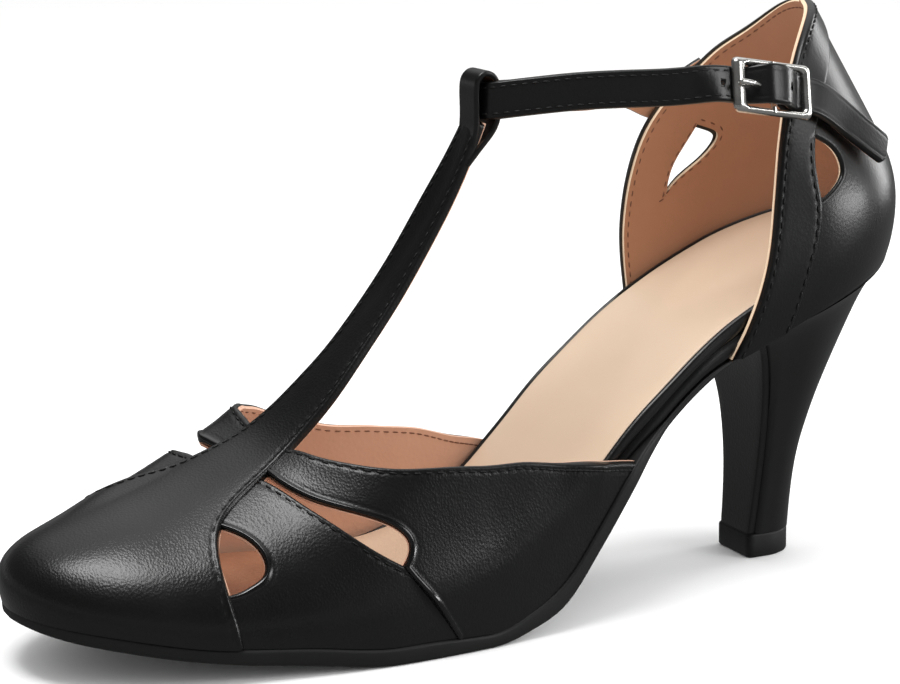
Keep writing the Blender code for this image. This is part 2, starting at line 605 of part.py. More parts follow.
def quarter(group):
    """Back of the upper, with its front bands, collar and cut-outs."""
    pattern = SamePattern()
    spacing = QUARTER_MESH * EDGE_MESH
    edge = smooth_path(QUARTER_EDGE, spacing)
    seat_count = int((edge[-1, 0] - edge[0, 0]) / spacing)
    seat = np.column_stack([np.linspace(edge[-1, 0], edge[0, 0], seat_count), np.zeros(seat_count)])[1:-1]
    outline = np.vstack([edge, seat])
    seams = [smooth_path(rows, spacing) for rows in (BAND_SEAM_OUT, BAND_SEAM_IN)]
    raised = []
    lines = []
    for seam, side in zip(seams, (1, -1)):
        band_edge = edge[side * edge[:, 0] < side * seam[-1, 0]]
        band_edge = band_edge if side > 0 else band_edge[::-1]
        raised.append(np.vstack([seam, band_edge[::-1]]))
        lines.append(seam[:-1])
        lines.append(offset_line(seam, -side * STEP_SLOPE)[1:-2])
    holes = [closed_curve(np.array(rows), QUARTER_MESH * HOLE_MESH) for rows in (CUT_OUT, CUT_IN)]
    return lasted_piece("quarter", quarter_surface, pattern, outline, holes, raised, lines, QUARTER_MESH,
                        group, BLACK_LEATHER)


def half_outline(along, inset):
    """Outer and inner half widths of the insole's top edge, moved inwards, with a round heel end."""
    beyond = np.clip(along - SEAT_CENTRE, 0, None) / (SEAT_BACK - SEAT_CENTRE - inset)
    round_end = np.sqrt(np.clip(1 - beyond ** 2, 0, 1))
    full_inset = INSOLE_INSET + inset
    from_tip = np.clip(along - TOE_TIP - full_inset, 0, None)
    blend = np.clip((along - WAIST_START) / (WAIST_FULL - WAIST_START), 0, 1)
    blend = blend * blend * (3 - 2 * blend)
    sides = []
    for name in ("outer", "inner"):
        front = LAST.at(name, from_tip) - full_inset * np.clip(from_tip / INSET_FADE, 0, 1)
        rear = (WAIST.at(name, along) - inset) * round_end
        sides.append(max(float(front * (1 - blend) + rear * blend), LEAST_HALF))
    return sides


def slab(name, stations, low, high, edges, rounding, group, look, flare=None):
    """A solid lying along the foot, between two levels, with rounded long edges; flare narrows its foot."""
    rings = []
    across = np.linspace(0, 1, 5)
    for along in stations:
        outer, inner = edges(along)
        bottom = low(along)
        top = high(along)
        most = min(outer, inner) * SLAB_SOFT
        soft = min(rounding, (top - bottom) * SLAB_SOFT, most)
        tuck = min(flare(along), most) if flare else 0.0
        upper = [-outer + soft + (outer + inner - 2 * soft) * a for a in across]
        lower = [-outer + tuck + soft + (outer + inner - 2 * soft - 2 * tuck) * a for a in across]
        ring = [(along, y, bottom) for y in lower]
        ring += [(along, inner - tuck, bottom + soft), (along, inner, top - soft)]
        ring += [(along, y, top) for y in reversed(upper)]
        ring += [(along, -outer, top - soft), (along, tuck - outer, bottom + soft)]
        rings.append(ring)
    return loft(name, np.array(rings), group, look)


def foot_stations(start, end, count, round_start=True, round_end=False):
    """Stations along the foot, closer together at a rounded end."""
    t = np.linspace(0, 1, count)
    if round_start and round_end:
        t = (1 - np.cos(math.pi * t)) / 2
    elif round_start:
        t = 1 - np.cos(math.pi / 2 * t)
    return start + (end - start) * t


def outsole(group):
    """Sole from the toe to the heel breast."""
    def edges(along):
        proud = float(SOLE_PROUD.at("edge", along))
        reach = np.clip(along - TOE_TIP + proud, 0, None)
        return [float(LAST.at(name, reach)) + proud for name in ("outer", "inner")]

    stations = foot_stations(TOE_TIP - GAP, SOLE_END, SOLE_STATIONS)
    return slab("outsole", stations, lambda x: float(LEVELS.at("floor", x)),
                lambda x: float(feather(x)) - GAP, edges, SOLE_ROUND, group, BLACK_RUBBER)


def insole(group):
    """Insole board with its covered edge, which shows at the open waist."""
    stations = foot_stations(TOE_TIP + INSOLE_START, SEAT_BACK - GAP, INSOLE_STATIONS, True, True)
    return slab("insole", stations, lambda x: float(feather(x)), insole_top, lambda x: half_outline(x, 0.0),
                COVER_ROUND, group, BLACK_LEATHER, lambda x: float(WAIST.at("flare", x)))


def insole_top(along):
    return float(LEVELS.at("sock", along)) - SOCK_THICKNESS - GAP


def sock(group):
    """Sock lining on the insole."""
    start = TOE_TIP + INSOLE_START + SOCK_INSET
    stations = foot_stations(start, SEAT_BACK - SOCK_INSET - GAP, SOCK_STATIONS, True, True)
    return slab("sock", stations, lambda x: insole_top(x) + GAP, lambda x: float(LEVELS.at("sock", x)),
                lambda x: half_outline(x, SOCK_INSET), SOCK_ROUND, group, BEIGE_SOCK)


def heel_ring(front, back, half):
    """Plan section of the heel: a straight breast, straight sides and a round back."""
    centre = front + HEEL_ROUND_FROM * (back - front)
    breast = (1.0, 0.5, 0.0, -0.5, -1.0)
    turn = np.linspace(-math.pi / 2, math.pi / 2, HEEL_POINTS - len(breast))
    ring = [(front, half * y) for y in breast]
    ring += [(centre + (back - centre) * math.cos(a), half * math.sin(a)) for a in turn]
    return np.array(ring)


def heel_section(level, plan):
    """Lifts a plan section of the heel to its level, the upper ones to the seat's slope."""
    seat = float(HEEL.at("seat", level))
    return np.column_stack([plan, (1 - seat) * level + seat * (feather(plan[:, 0]) - GAP)])


def heel(group):
    """Covered heel block, flared to the seat."""
    rings = []
    for level in HEEL_LEVELS:
        front, back, half = (float(HEEL.at(name, level)) for name in ("front", "back", "half"))
        rings.append(heel_section(level, heel_ring(front + FLAP_THICKNESS + GAP, back, half)))
    return loft("heel", np.array(rings), group, HEEL_COVER)


def top_lift(group):
    """Wearing tip of the heel."""
    plan = heel_ring(LIFT_FRONT, LIFT_BACK, LIFT_HALF)
    rings = [np.column_stack([plan, np.full(len(plan), z)]) for z in (0.0, LIFT_HEIGHT)]
    return loft("top_lift", np.array(rings), group, BLACK_RUBBER)


def breast_flap(group):
    """The sole's leather carried down the heel's breast."""
    rings = []
    for level in HEEL_LEVELS:
        front = float(HEEL.at("front", level))
        back = front + FLAP_THICKNESS
        half = float(HEEL.at("half", level)) - FLAP_INSET
        sides = (half, 0.0, -half)
        plan = [(front, y) for y in sides] + [(back, y) for y in reversed(sides)]
        rings.append(heel_section(level, np.array(plan)))
    return loft("breast_flap", np.array(rings), group, BLACK_LEATHER)


# Ankle strap and buckle
def buckle_axes():
    along = BUCKLE_ALONG / np.linalg.norm(BUCKLE_ALONG)
    out = BUCKLE_OUT - along * np.dot(BUCKLE_OUT, along)
    out = out / np.linalg.norm(out)
    return along, out, np.cross(along, out)


def on_quarter(girth, rise, lie):
    """A place on the quarter's outer face, lifted off it, and the normal there."""
    normal = outward(quarter_surface, np.float64(girth), np.float64(rise))
    return quarter_surface(girth, rise) + normal * (STEP + lie), normal


def ankle_strap(group, cutters):
    """Strap from the inner quarter through the loop and the buckle to its free end."""
    along, out, _ = buckle_axes()
    rows = [on_quarter(girth, rise, STRAP_LIE + off) for girth, rise, off in INNER_ROOT]
    run = np.array(INNER_RUN + LOOP_RUN + OUTER_RUN)
    heading = np.gradient(run, axis=0)
    face = np.column_stack([heading[:, 1], -heading[:, 0], np.zeros(len(run))])
    face /= np.linalg.norm(face, axis=1, keepdims=True)
    rows += list(zip(run, face + np.array([0.0, 0.0, RUN_LEAN])))
    rows += [(BUCKLE_CENTRE + along * s + out * n * WEAVE, out) for s, n in WEAVE_ROWS]
    rows += [on_quarter(girth, rise, STRAP_LIE + off) for girth, rise, off in FREE_END]
    path = smooth_path([np.concatenate(row) for row in rows], STRAP_STEP)
    strap = ribbon("ankle_strap", path[:, :3], path[:, 3:], STRAP_WIDTH, STRAP_THICKNESS, group,
                   BLACK_LEATHER)
    slot = box("prong_slot", (SLOT_LENGTH, STRAP_THICKNESS * 4, SLOT_WIDTH), (0, 0, 0), cutters)
    place_in_buckle(slot, SLOT_MIDDLE)
    boolean(strap, slot, "DIFFERENCE")
    return strap


def place_in_buckle(thing, shift):
    """Turns a box made along X, with its face to -Y, to lie in the buckle's plane."""
    along, out, up = buckle_axes()
    turn = Matrix((along, -out, -up)).transposed()
    place = Vector(to_metres(BUCKLE_CENTRE + along * shift))
    thing.matrix_world = Matrix.Translation(place) @ turn.to_4x4()


def buckle_frame(group, cutters):
    """Square frame with a wide front bar and a middle bar."""
    frame = box("buckle_frame", (FRAME_LENGTH, FRAME_THICKNESS, FRAME_HEIGHT), (0, 0, 0), group)
    frame.data.materials.append(finish(*STEEL))
    place_in_buckle(frame, 0.0)
    front_end = -FRAME_LENGTH / 2 + FRAME_WIDE_BAR
    back_end = FRAME_LENGTH / 2 - FRAME_BACK_BAR
    bar = FRAME_MIDDLE_BAR / 2
    opening = FRAME_HEIGHT - 2 * FRAME_BAR
    for name, start, end in (("window_front", front_end, -bar), ("window_back", bar, back_end)):
        window = box(name, (end - start, FRAME_THICKNESS * 4, opening), (0, 0, 0), cutters)
        place_in_buckle(window, (start + end) / 2)
        boolean(frame, window, "DIFFERENCE")
    soften = frame.modifiers.new("soft", "BEVEL")
    soften.width = FRAME_BEVEL * MM
    soften.segments = 2
    return frame


def buckle_prong(group):
    """Tongue from the middle bar through the strap to the wide bar."""
    along, out, _ = buckle_axes()
    path = smooth_path([BUCKLE_CENTRE + along * s + out * n for s, n in PRONG_ROWS], PRONG_STEP)
    tangent = np.gradient(path, axis=0)
    tangent /= np.linalg.norm(tangent, axis=1, keepdims=True)
    across = np.cross(tangent, out)
    turn = np.linspace(0, 2 * math.pi, PRONG_SIDES, endpoint=False)
    rings = []
    for p, t, a in zip(path, tangent, across):
        b = np.cross(t, a)
        rings.append([p + PRONG_RADIUS * (a * math.cos(w) + b * math.sin(w)) for w in turn])
    return loft("buckle_prong", np.array(rings), group, STEEL)


def buckle_tab(group):
    """Short tab from the outer band to the buckle's middle bar."""
    along, out, _ = buckle_axes()
    rows = [on_quarter(girth, rise, GAP + TAB_THICKNESS / 2) for girth, rise in TAB_ROOT]
    lift = FRAME_MIDDLE_BAR / 2 + GAP + TAB_THICKNESS / 2
    rows += [(BUCKLE_CENTRE + along * s - out * lift, out) for s in (TAB_REACH, 0.0)]
    path = smooth_path([np.concatenate(row) for row in rows], TAB_STEP)
    return ribbon("buckle_tab", path[:, :3], path[:, 3:], TAB_WIDTH, TAB_THICKNESS, group, BLACK_LEATHER)


def main():
    for thing in list(bpy.data.objects):
        bpy.data.objects.remove(thing, do_unlink=True)
    shoe = collection("t_strap_pump")
    cutters = collection("cutters")
    outsole(shoe)
    insole(shoe)
    sock(shoe)
    heel(shoe)
    top_lift(shoe)
    breast_flap(shoe)
    vamp(shoe, cutters)
    quarter(shoe)
    ankle_strap(shoe, cutters)
    buckle_frame(shoe, cutters)
    buckle_prong(shoe)
    buckle_tab(shoe)
    for cutter in cutters.objects:
        cutter.hide_render = True
        cutter.display_type = "WIRE"


if __name__ == "__main__":
    main()
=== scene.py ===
"""Looks for a black T-strap cut-out pump: leather panels, lining, stitches, sole, heel and buckle.

Tables are in millimetres in the shoemaker's frame: along +X from the toe tip to the heel, the outer side
at -Y, the floor at Z 0. Finished meshes are in metres in the part's own frame.
"""
from __future__ import annotations

import logging
import math
from dataclasses import dataclass, field
from enum import Enum

import bmesh
import bpy
import numpy as np
from mathutils import Matrix, Vector
from mathutils.geometry import delaunay_2d_cdt

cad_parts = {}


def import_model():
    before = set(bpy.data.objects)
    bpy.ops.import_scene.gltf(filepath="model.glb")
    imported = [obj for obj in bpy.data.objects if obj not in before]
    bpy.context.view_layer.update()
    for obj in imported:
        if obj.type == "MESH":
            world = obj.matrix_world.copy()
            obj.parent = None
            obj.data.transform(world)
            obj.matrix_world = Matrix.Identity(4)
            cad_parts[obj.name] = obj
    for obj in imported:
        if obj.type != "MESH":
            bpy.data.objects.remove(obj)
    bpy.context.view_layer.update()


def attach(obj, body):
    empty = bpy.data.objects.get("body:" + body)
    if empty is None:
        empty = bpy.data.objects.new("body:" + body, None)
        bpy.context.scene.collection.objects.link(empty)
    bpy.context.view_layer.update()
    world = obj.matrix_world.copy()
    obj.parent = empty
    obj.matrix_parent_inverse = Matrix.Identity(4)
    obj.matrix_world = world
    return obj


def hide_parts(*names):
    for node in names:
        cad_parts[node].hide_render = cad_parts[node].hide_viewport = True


LOG = logging.getLogger("pump")
MM = 0.001
ORIGIN = np.array([114.8, -0.6, 0.0])
BODY = "root"
Rows = tuple[tuple[float, ...], ...]
Place = tuple[float, float, float]
Pair = tuple[float, float]
StitchRow = tuple[np.ndarray, np.ndarray]
TINY = 1e-9


# Curves and surfaces of the last
BLEND_WEIGHTS = np.array([1, 8, 28, 56, 70, 56, 28, 8, 1]) / 256


class Curves:
    """Smooth curves through the rows of a short table, one for each named column."""

    def __init__(self, columns: tuple[str, ...], rows: Rows, rounded: bool = False, fair: bool = False,
                 blend: float = 0.0) -> None:
        """Keeps the columns.

        Args:
            columns: names, the first of the place column.
            rows: one row for each place.
            rounded: run on the square root of the place, so that a toe closes as a round nose.
            fair: keep the curvature continuous too, for lines that may swing out a little between rows.
            blend: average over this much of the place to each side, for surfaces that show reflections.
        """
        data = np.array(rows, float)
        self.rounded = rounded
        self.fair = fair
        self.blend = blend
        self.key = self._place(data[:, 0])
        self.values = {name: data[:, i] for i, name in enumerate(columns)}
        self.bends = {name: self._bend(value) for name, value in self.values.items()} if fair else {}

    def _place(self, where: np.ndarray) -> np.ndarray:
        """Places as the curves run on them."""
        where = np.asarray(where, float)
        return np.sqrt(np.clip(where, 0.0, None)) if self.rounded else where

    def _bend(self, value: np.ndarray) -> np.ndarray:
        """Bends of the natural cubic curve through one column.

        Args:
            value: the column.

        Returns:
            The second derivative at each row.
        """
        step = np.diff(self.key)
        count = len(self.key)
        matrix = np.eye(count)
        right = np.zeros(count)
        for i in range(1, count - 1):
            matrix[i, i - 1:i + 2] = step[i - 1], 2 * (step[i - 1] + step[i]), step[i]
            right[i] = 6 * ((value[i + 1] - value[i]) / step[i] - (value[i] - value[i - 1]) / step[i - 1])
        return np.linalg.solve(matrix, right)

    def at(self, name: str, where: np.ndarray | float) -> np.ndarray:
        """One column's values.

        Args:
            name: the column.
            where: places along the table.

        Returns:
            The values there, held constant beyond the ends.
        """
        here = np.clip(self._place(where), self.key[0], self.key[-1])
        if not self.blend:
            return self._through(name, here)
        reach = np.minimum(self.blend, np.minimum(here - self.key[0], self.key[-1] - here))
        total = np.zeros_like(here)
        for offset, weight in zip(np.linspace(-1, 1, len(BLEND_WEIGHTS)), BLEND_WEIGHTS):
            total = total + weight * self._through(name, here + offset * reach)
        return total

    def _through(self, name: str, here: np.ndarray) -> np.ndarray:
        """One column's curve.

        Args:
            name: the column.
            here: places as the curves run on them.

        Returns:
            The values there.
        """
        key = self.key
        value = self.values[name]
        step = np.diff(key)
        i = np.clip(np.searchsorted(key, here, side="right") - 1, 0, len(step) - 1)
        t = (here - key[i]) / step[i]
        if self.fair:
            bend = self.bends[name]
            pull = step[i] ** 2 / 6
            return (value[i] * (1 - t) + value[i + 1] * t
                    + pull * (bend[i] * ((1 - t) ** 3 - (1 - t)) + bend[i + 1] * (t ** 3 - t)))
        slope = np.diff(value) / step
        middle = (step[1:] * slope[:-1] + step[:-1] * slope[1:]) / (step[1:] + step[:-1])
        middle = np.where(slope[:-1] * slope[1:] > 0.0, middle, 0.0)
        tangent = np.concatenate([slope[:1], middle, slope[-1:]])
        start = value[i] * (1 + 2 * t) + tangent[i] * step[i] * t
        end = value[i + 1] * (3 - 2 * t) + tangent[i + 1] * step[i] * (t - 1)
        return start * (1 - t) ** 2 + end * t ** 2


LEVELS = Curves(("along", "floor", "sock"), (
    (0, 13.4, 18.6), (8, 11.3, 16.4), (20, 8.8, 14.2), (40, 5.0, 11.4), (60, 2.4, 9.6), (80, 0.0, 8.4),
    (102, 0.0, 10.6), (112, 1.9, 15.4), (122, 6.6, 23.4), (132, 18.6, 33.4), (142, 31.8, 43.4),
    (152, 41.9, 51.6), (162, 49.8, 59.1), (174, 56.4, 66.2), (190, 62.6, 73.6), (206, 68.0, 79.6),
    (230, 75.4, 87.6)))
SOLE_THICKNESS = Curves(("along", "sole"), (
    (0, 2.0), (10, 3.0), (40, 3.5), (65, 4.2), (85, 4.2), (100, 3.5), (112, 2.8), (124, 2.4), (150, 2.3),
    (168, 1.4), (176, 0.0), (230, 0.0)))
LAST = Curves(("along", "outer", "inner", "ridge", "crest", "wall", "crown_out", "crown_in"), (
    (0, 0.0, 0.0, 15.4, 0.0, 0.50, 0.60, 0.60),
    (1, 6.4, 6.4, 20.4, 0.0, 0.50, 0.60, 0.60),
    (4, 13.0, 13.0, 24.4, 0.5, 0.50, 0.60, 0.60),
    (9, 18.9, 18.9, 27.4, 1.0, 0.50, 0.60, 0.60),
    (16, 24.0, 24.0, 29.8, 2.0, 0.50, 0.60, 0.62),
    (25, 28.3, 28.6, 32.4, 3.5, 0.50, 0.58, 0.66),
    (36, 31.8, 32.5, 35.4, 6.0, 0.50, 0.55, 0.70),
    (49, 34.4, 35.5, 40.2, 8.0, 0.50, 0.52, 0.76),
    (62, 36.6, 36.6, 46.4, 8.0, 0.50, 0.50, 0.80),
    (78, 37.9, 35.4, 61.0, 4.0, 0.46, 0.48, 0.72),
    (97, 37.0, 31.6, 82.4, 1.0, 0.40, 0.44, 0.60),
    (112, 35.0, 28.4, 108.0, 0.0, 0.36, 0.42, 0.50),
    (118, 34.2, 27.4, 124.0, 0.0, 0.34, 0.40, 0.45),
    (147, 30.8, 25.4, 150.0, 0.0, 0.30, 0.40, 0.40),
    (170, 28.4, 26.6, 150.0, 0.0, 0.30, 0.40, 0.40)), rounded=True, blend=0.45)
QUARTER = Curves(("rise", "back", "half", "depth"), (
    (0, 225.0, 26.8, 34.0), (8, 227.0, 28.3, 34.0), (16, 227.4, 28.9, 34.0), (24, 225.6, 28.5, 33.5),
    (33, 221.0, 27.0, 33.0), (42, 215.8, 24.9, 32.0), (52, 210.0, 22.4, 31.0), (62, 204.2, 20.0, 30.0)),
    blend=8.0)
SWELL = Curves(("along", "swell"), (
    (0, 0.0), (16, 0.0), (27, 1.2), (36, 2.0), (47, 2.9), (54, 3.0), (62, 4.2), (70, 3.6), (80, 3.4),
    (97, 4.6), (105, 6.4), (110, 5.2), (115, 0.8), (147, 0.8)), blend=5.0)
SWELL_FADE = 8
SWELL_PEAK = 0.2 ** 2 * 0.8 ** SWELL_FADE
TOE_TIP = 3.0
TOE_LEAN = 0.30
TOE_LEAN_END = 60.0
WALL_BULGE = 1.6
BULGE_FULL_AT = 20.0
QUARTER_ARC = 48.2
LAST_END = 168.0
LAST_STATIONS = 420
LAST_SHARES = 90
WALL_SHARE = 0.75
PROBE = 0.03
PROBE_SHARE = 0.003


def lengths(points: np.ndarray) -> np.ndarray:
    """Length along a path from its start to each of its points."""
    return np.concatenate([[0.0], np.cumsum(np.linalg.norm(np.diff(points, axis=0), axis=1))])


def unit(rows: np.ndarray) -> np.ndarray:
    """Rows scaled to length one."""
    return rows / np.maximum(np.linalg.norm(rows, axis=-1, keepdims=True), TINY)


def at_lengths(where: np.ndarray, reach: np.ndarray, points: np.ndarray) -> np.ndarray:
    """Points of a path at lengths along it."""
    return np.column_stack([np.interp(where, reach, column) for column in points.T])


def feather(along: np.ndarray | float) -> np.ndarray:
    """Height of the feather edge, where upper and sole meet."""
    return LEVELS.at("floor", along) + SOLE_THICKNESS.at("sole", along)


def bezier(t: np.ndarray, a: np.ndarray, b: np.ndarray, c: np.ndarray, d: np.ndarray) -> np.ndarray:
    """Point of a cubic curve between a and d with handles b and c."""
    return a * (1 - t) ** 3 + 3 * b * t * (1 - t) ** 2 + 3 * c * t ** 2 * (1 - t) + d * t ** 3


class Surface:
    """A surface of the last with two coordinates of its own, outward normals and a flat pattern."""

    def point(self, u: np.ndarray, v: np.ndarray) -> np.ndarray:
        """Points in millimetres."""
        raise NotImplementedError

    def flat(self, places: np.ndarray) -> np.ndarray:
        """Flat pattern millimetres of the surface's own coordinates."""
        return np.asarray(places, float)

    def place(self, flat: np.ndarray) -> np.ndarray:
        """The surface's own coordinates of flat pattern points."""
        return np.asarray(flat, float)

    def normal(self, u: np.ndarray, v: np.ndarray) -> np.ndarray:
        """Unit normals, pointing out of the shoe.

        Args:
            u: first coordinates.
            v: second coordinates.

        Returns:
            The normals.
        """
        du = self.point(u + PROBE, v) - self.point(u - PROBE, v)
        dv = self.point(u, v + PROBE_SHARE) - self.point(u, v - PROBE_SHARE)
        return unit(np.cross(du, dv))

    def lift(self, flat: np.ndarray, height: np.ndarray | float) -> np.ndarray:
        """Points over the surface.

        Args:
            flat: their places on the flat pattern.
            height: height over the surface, one for all or one for each.

        Returns:
            The points in millimetres.
        """
        u, v = self.place(flat).T
        height = np.broadcast_to(np.asarray(height, float), u.shape)
        return self.point(u, v) + self.normal(u, v) * height[:, None]


class Front(Surface):
    """The last's front: along from the toe tip, share from -1 at the outer feather edge to 1 at the inner."""

    def __init__(self, side: int) -> None:
        """Measures the flat pattern.

        Args:
            side: 0 for a pattern that is flat along the crest, -1 or 1 for one side's, flat along its wall.
        """
        self.side = side
        self.stations = np.linspace(0, math.sqrt(LAST_END), LAST_STATIONS) ** 2
        self.shares = np.linspace(0, 1, LAST_SHARES)
        u, v = np.meshgrid(self.stations, self.shares, indexing="ij")
        self.girths = {}
        for sign in (-1, 1):
            steps = np.linalg.norm(np.diff(self.point(u, sign * np.maximum(v, TINY)), axis=1), axis=2)
            self.girths[sign] = np.concatenate([np.zeros((len(steps), 1)), np.cumsum(steps, axis=1)], axis=1)
        self.run = lengths(self.point(self.stations, np.full(len(self.stations), WALL_SHARE * side)))

    def point(self, u: np.ndarray, v: np.ndarray) -> np.ndarray:
        """Points in millimetres.

        Args:
            u: places along.
            v: shares.

        Returns:
            The points, with a swell on the inner side and a toe that leans back.
        """
        along, share = np.broadcast_arrays(np.asarray(u, float), np.asarray(v, float))
        outer = share < 0
        half = np.where(outer, -LAST.at("outer", along), LAST.at("inner", along))
        crown = np.where(outer, LAST.at("crown_out", along), LAST.at("crown_in", along))
        crest = LAST.at("crest", along)
        low = feather(along + TOE_TIP)
        high = LAST.at("ridge", along)
        t = 1 - np.abs(share)
        bulge = WALL_BULGE * np.sign(half) * np.minimum(1, np.abs(half) / BULGE_FULL_AT)
        y = bezier(t, half, half + bulge, crest + crown * (half - crest), crest)
        z = bezier(t, low, low + LAST.at("wall", along) * (high - low), high, high)
        inner = np.clip(share, 0, 1)
        z = z + SWELL.at("swell", along) * inner ** 2 * (1 - inner) ** SWELL_FADE / SWELL_PEAK
        lean = TOE_LEAN * np.clip(1 - along / TOE_LEAN_END, 0, 1) ** 2
        return np.stack([along + TOE_TIP - lean * (z - low), y, z], -1)

    def _rows(self, along: np.ndarray, sign: int) -> np.ndarray:
        """Girths from the crest at every share.

        Args:
            along: places along.
            sign: -1 for the outer side, 1 for the inner.

        Returns:
            One row for each place.
        """
        table = self.girths[sign]
        at = np.interp(along, self.stations, np.arange(len(self.stations)))
        i = np.clip(at.astype(int), 0, len(self.stations) - 2)
        t = (at - i)[:, None]
        return table[i] * (1 - t) + table[i + 1] * t

    def _from_crest(self, along: np.ndarray, share: np.ndarray, sign: int) -> tuple[np.ndarray, np.ndarray]:
        """Girths from the crest.

        Args:
            along: places along.
            share: shares there.
            sign: -1 for the outer side, 1 for the inner.

        Returns:
            Girth to the share, and to the feather edge.
        """
        rows = self._rows(along, sign)
        at = np.clip(np.abs(share), 0, 1) * (len(self.shares) - 1)
        i = np.clip(at.astype(int), 0, len(self.shares) - 2)
        t = at - i
        pick = np.arange(len(along))
        return rows[pick, i] * (1 - t) + rows[pick, i + 1] * t, rows[:, -1]

    def flat(self, places: np.ndarray) -> np.ndarray:
        """Flat pattern millimetres.

        Args:
            places: rows of along and share.

        Returns:
            Rows of the run along the pattern and the girth across it.
        """
        along, share = np.asarray(places, float).T
        run = np.interp(along, self.stations, self.run)
        if self.side:
            reach, total = self._from_crest(along, share, self.side)
            return np.column_stack([run, total - reach])
        out = self._from_crest(along, share, -1)[0]
        inner = self._from_crest(along, share, 1)[0]
        return np.column_stack([run, np.where(share < 0, -out, inner)])

    def place(self, flat: np.ndarray) -> np.ndarray:
        """Places on the last.

        Args:
            flat: rows of the run along the pattern and the girth across it.

        Returns:
            Rows of along and share.
        """
        run, across = np.asarray(flat, float).T
        along = np.interp(run, self.run, self.stations)
        share = np.zeros(len(along))
        for sign in (-1, 1):
            mine = np.sign(across) == sign if not self.side else np.full(len(along), self.side == sign)
            if not mine.any():
                continue
            rows = self._rows(along[mine], sign)
            reach = rows[:, -1] - across[mine] if self.side else np.abs(across[mine])
            reach = np.clip(reach, 0, rows[:, -1])
            i = np.clip((rows <= reach[:, None]).sum(axis=1) - 1, 0, rows.shape[1] - 2)
            pick = np.arange(len(i))
            width = np.maximum(rows[pick, i + 1] - rows[pick, i], TINY)
            share[mine] = sign * (i + (reach - rows[pick, i]) / width) / (len(self.shares) - 1)
        return np.column_stack([along, np.clip(share, -1, 1)])


class Back(Surface):
    """The last's back: girth from the outer side round the heel to the inner side, rise above the seat."""

    def point(self, u: np.ndarray, v: np.ndarray) -> np.ndarray:
        """Points in millimetres.

        Args:
            u: girths from the middle of the back, negative on the outer side.
            v: rises above the seat.

        Returns:
            The points.
        """
        girth, rise = np.broadcast_arrays(np.asarray(u, float), np.asarray(v, float))
        turn = np.clip(np.abs(girth) / QUARTER_ARC, 0, 1) * math.pi / 2
        run = np.clip(np.abs(girth) - QUARTER_ARC, 0, None)
        seat = QUARTER.at("back", 0) - QUARTER.at("depth", 0) * (1 - np.cos(turn)) - run
        x = QUARTER.at("back", rise) - QUARTER.at("depth", rise) * (1 - np.cos(turn)) - run
        y = np.sign(girth) * QUARTER.at("half", rise) * np.sin(turn)
        return np.stack([x, y, feather(seat) + rise], -1)


# Lines on the flat pattern
POINTS_AT_ONCE = 4000
LEAST_STEP = 0.25


def smooth_path(points: np.ndarray, spacing: float) -> np.ndarray:
    """Evenly spaced points on a smooth curve through the given points.

    Args:
        points: corners of the path, of any dimension.
        spacing: distance between the new points.

    Returns:
        The new points, both ends among them.
    """
    points = np.asarray(points, float)
    chord = lengths(points)
    names = tuple(f"c{i}" for i in range(points.shape[1]))
    curve = Curves(("chord", *names), np.column_stack([chord, points]), fair=len(points) > 2)
    where = np.linspace(0, chord[-1], max(2, int(math.ceil(chord[-1] / spacing)) + 1))
    return np.column_stack([curve.at(name, where) for name in names])


def along_line(points: np.ndarray, line: np.ndarray) -> tuple[np.ndarray, np.ndarray]:
    """Distance of each point to a line, and how far along the line its nearest place is.

    Args:
        points: flat points.
        line: the line's points.

    Returns:
        Distances and lengths along the line.
    """
    start = line[:-1]
    run = line[1:] - start
    length = np.linalg.norm(run, axis=1)
    reach = np.concatenate([[0.0], np.cumsum(length)])[:-1]
    distance = np.empty(len(points))
    place = np.empty(len(points))
    for first in range(0, len(points), POINTS_AT_ONCE):
        part = slice(first, first + POINTS_AT_ONCE)
        offset = points[part][:, None, :] - start
        share = np.clip(np.sum(offset * run, axis=2) / np.maximum(length ** 2, TINY), 0, 1)
        gap = np.linalg.norm(offset - share[:, :, None] * run, axis=2)
        best = gap.argmin(axis=1)
        pick = np.arange(len(best))
        distance[part] = gap[pick, best]
        place[part] = reach[best] + share[pick, best] * length[best]
    return distance, place


def inside_polygon(points: np.ndarray, polygon: np.ndarray) -> np.ndarray:
    """Tells which points lie in a closed polygon.

    Args:
        points: flat points.
        polygon: the polygon's corners.

    Returns:
        True for each point inside.
    """
    x, y = points.T
    inside = np.zeros(len(x), bool)
    for (ax, ay), (bx, by) in zip(polygon, np.roll(polygon, -1, axis=0)):
        if ay == by:
            continue
        inside ^= ((ay > y) != (by > y)) & (x < ax + (y - ay) * (bx - ax) / (by - ay))
    return inside


def offset_line(line: np.ndarray, distance: np.ndarray | float) -> np.ndarray:
    """A line moved sideways.

    Args:
        line: flat points.
        distance: how far to its left, one for all or one for each point.

    Returns:
        The moved points.
    """
    run = unit(np.gradient(line, axis=0))
    return line + np.asarray(distance)[..., None] * np.column_stack([-run[:, 1], run[:, 0]])


def cut_line(line: np.ndarray, start: np.ndarray, end: np.ndarray) -> np.ndarray:
    """A stretch of a line.

    Args:
        line: flat points.
        start: a point near the stretch's start.
        end: a point near its end.

    Returns:
        The points from start to end.
    """
    first = int(np.linalg.norm(line - start, axis=1).argmin())
    last = int(np.linalg.norm(line - end, axis=1).argmin())
    return line[first:last + 1] if first <= last else line[last:first + 1][::-1]


def clean_loop(*lines: np.ndarray) -> np.ndarray:
    """A closed loop of lines without points that nearly coincide.

    Args:
        lines: the lines in order.

    Returns:
        The loop's points.
    """
    points = np.vstack(lines)
    keep = [points[0]]
    for point in points[1:]:
        if np.linalg.norm(point - keep[-1]) > LEAST_STEP:
            keep.append(point)
    if np.linalg.norm(keep[0] - keep[-1]) <= LEAST_STEP:
        keep.pop()
    return np.array(keep)


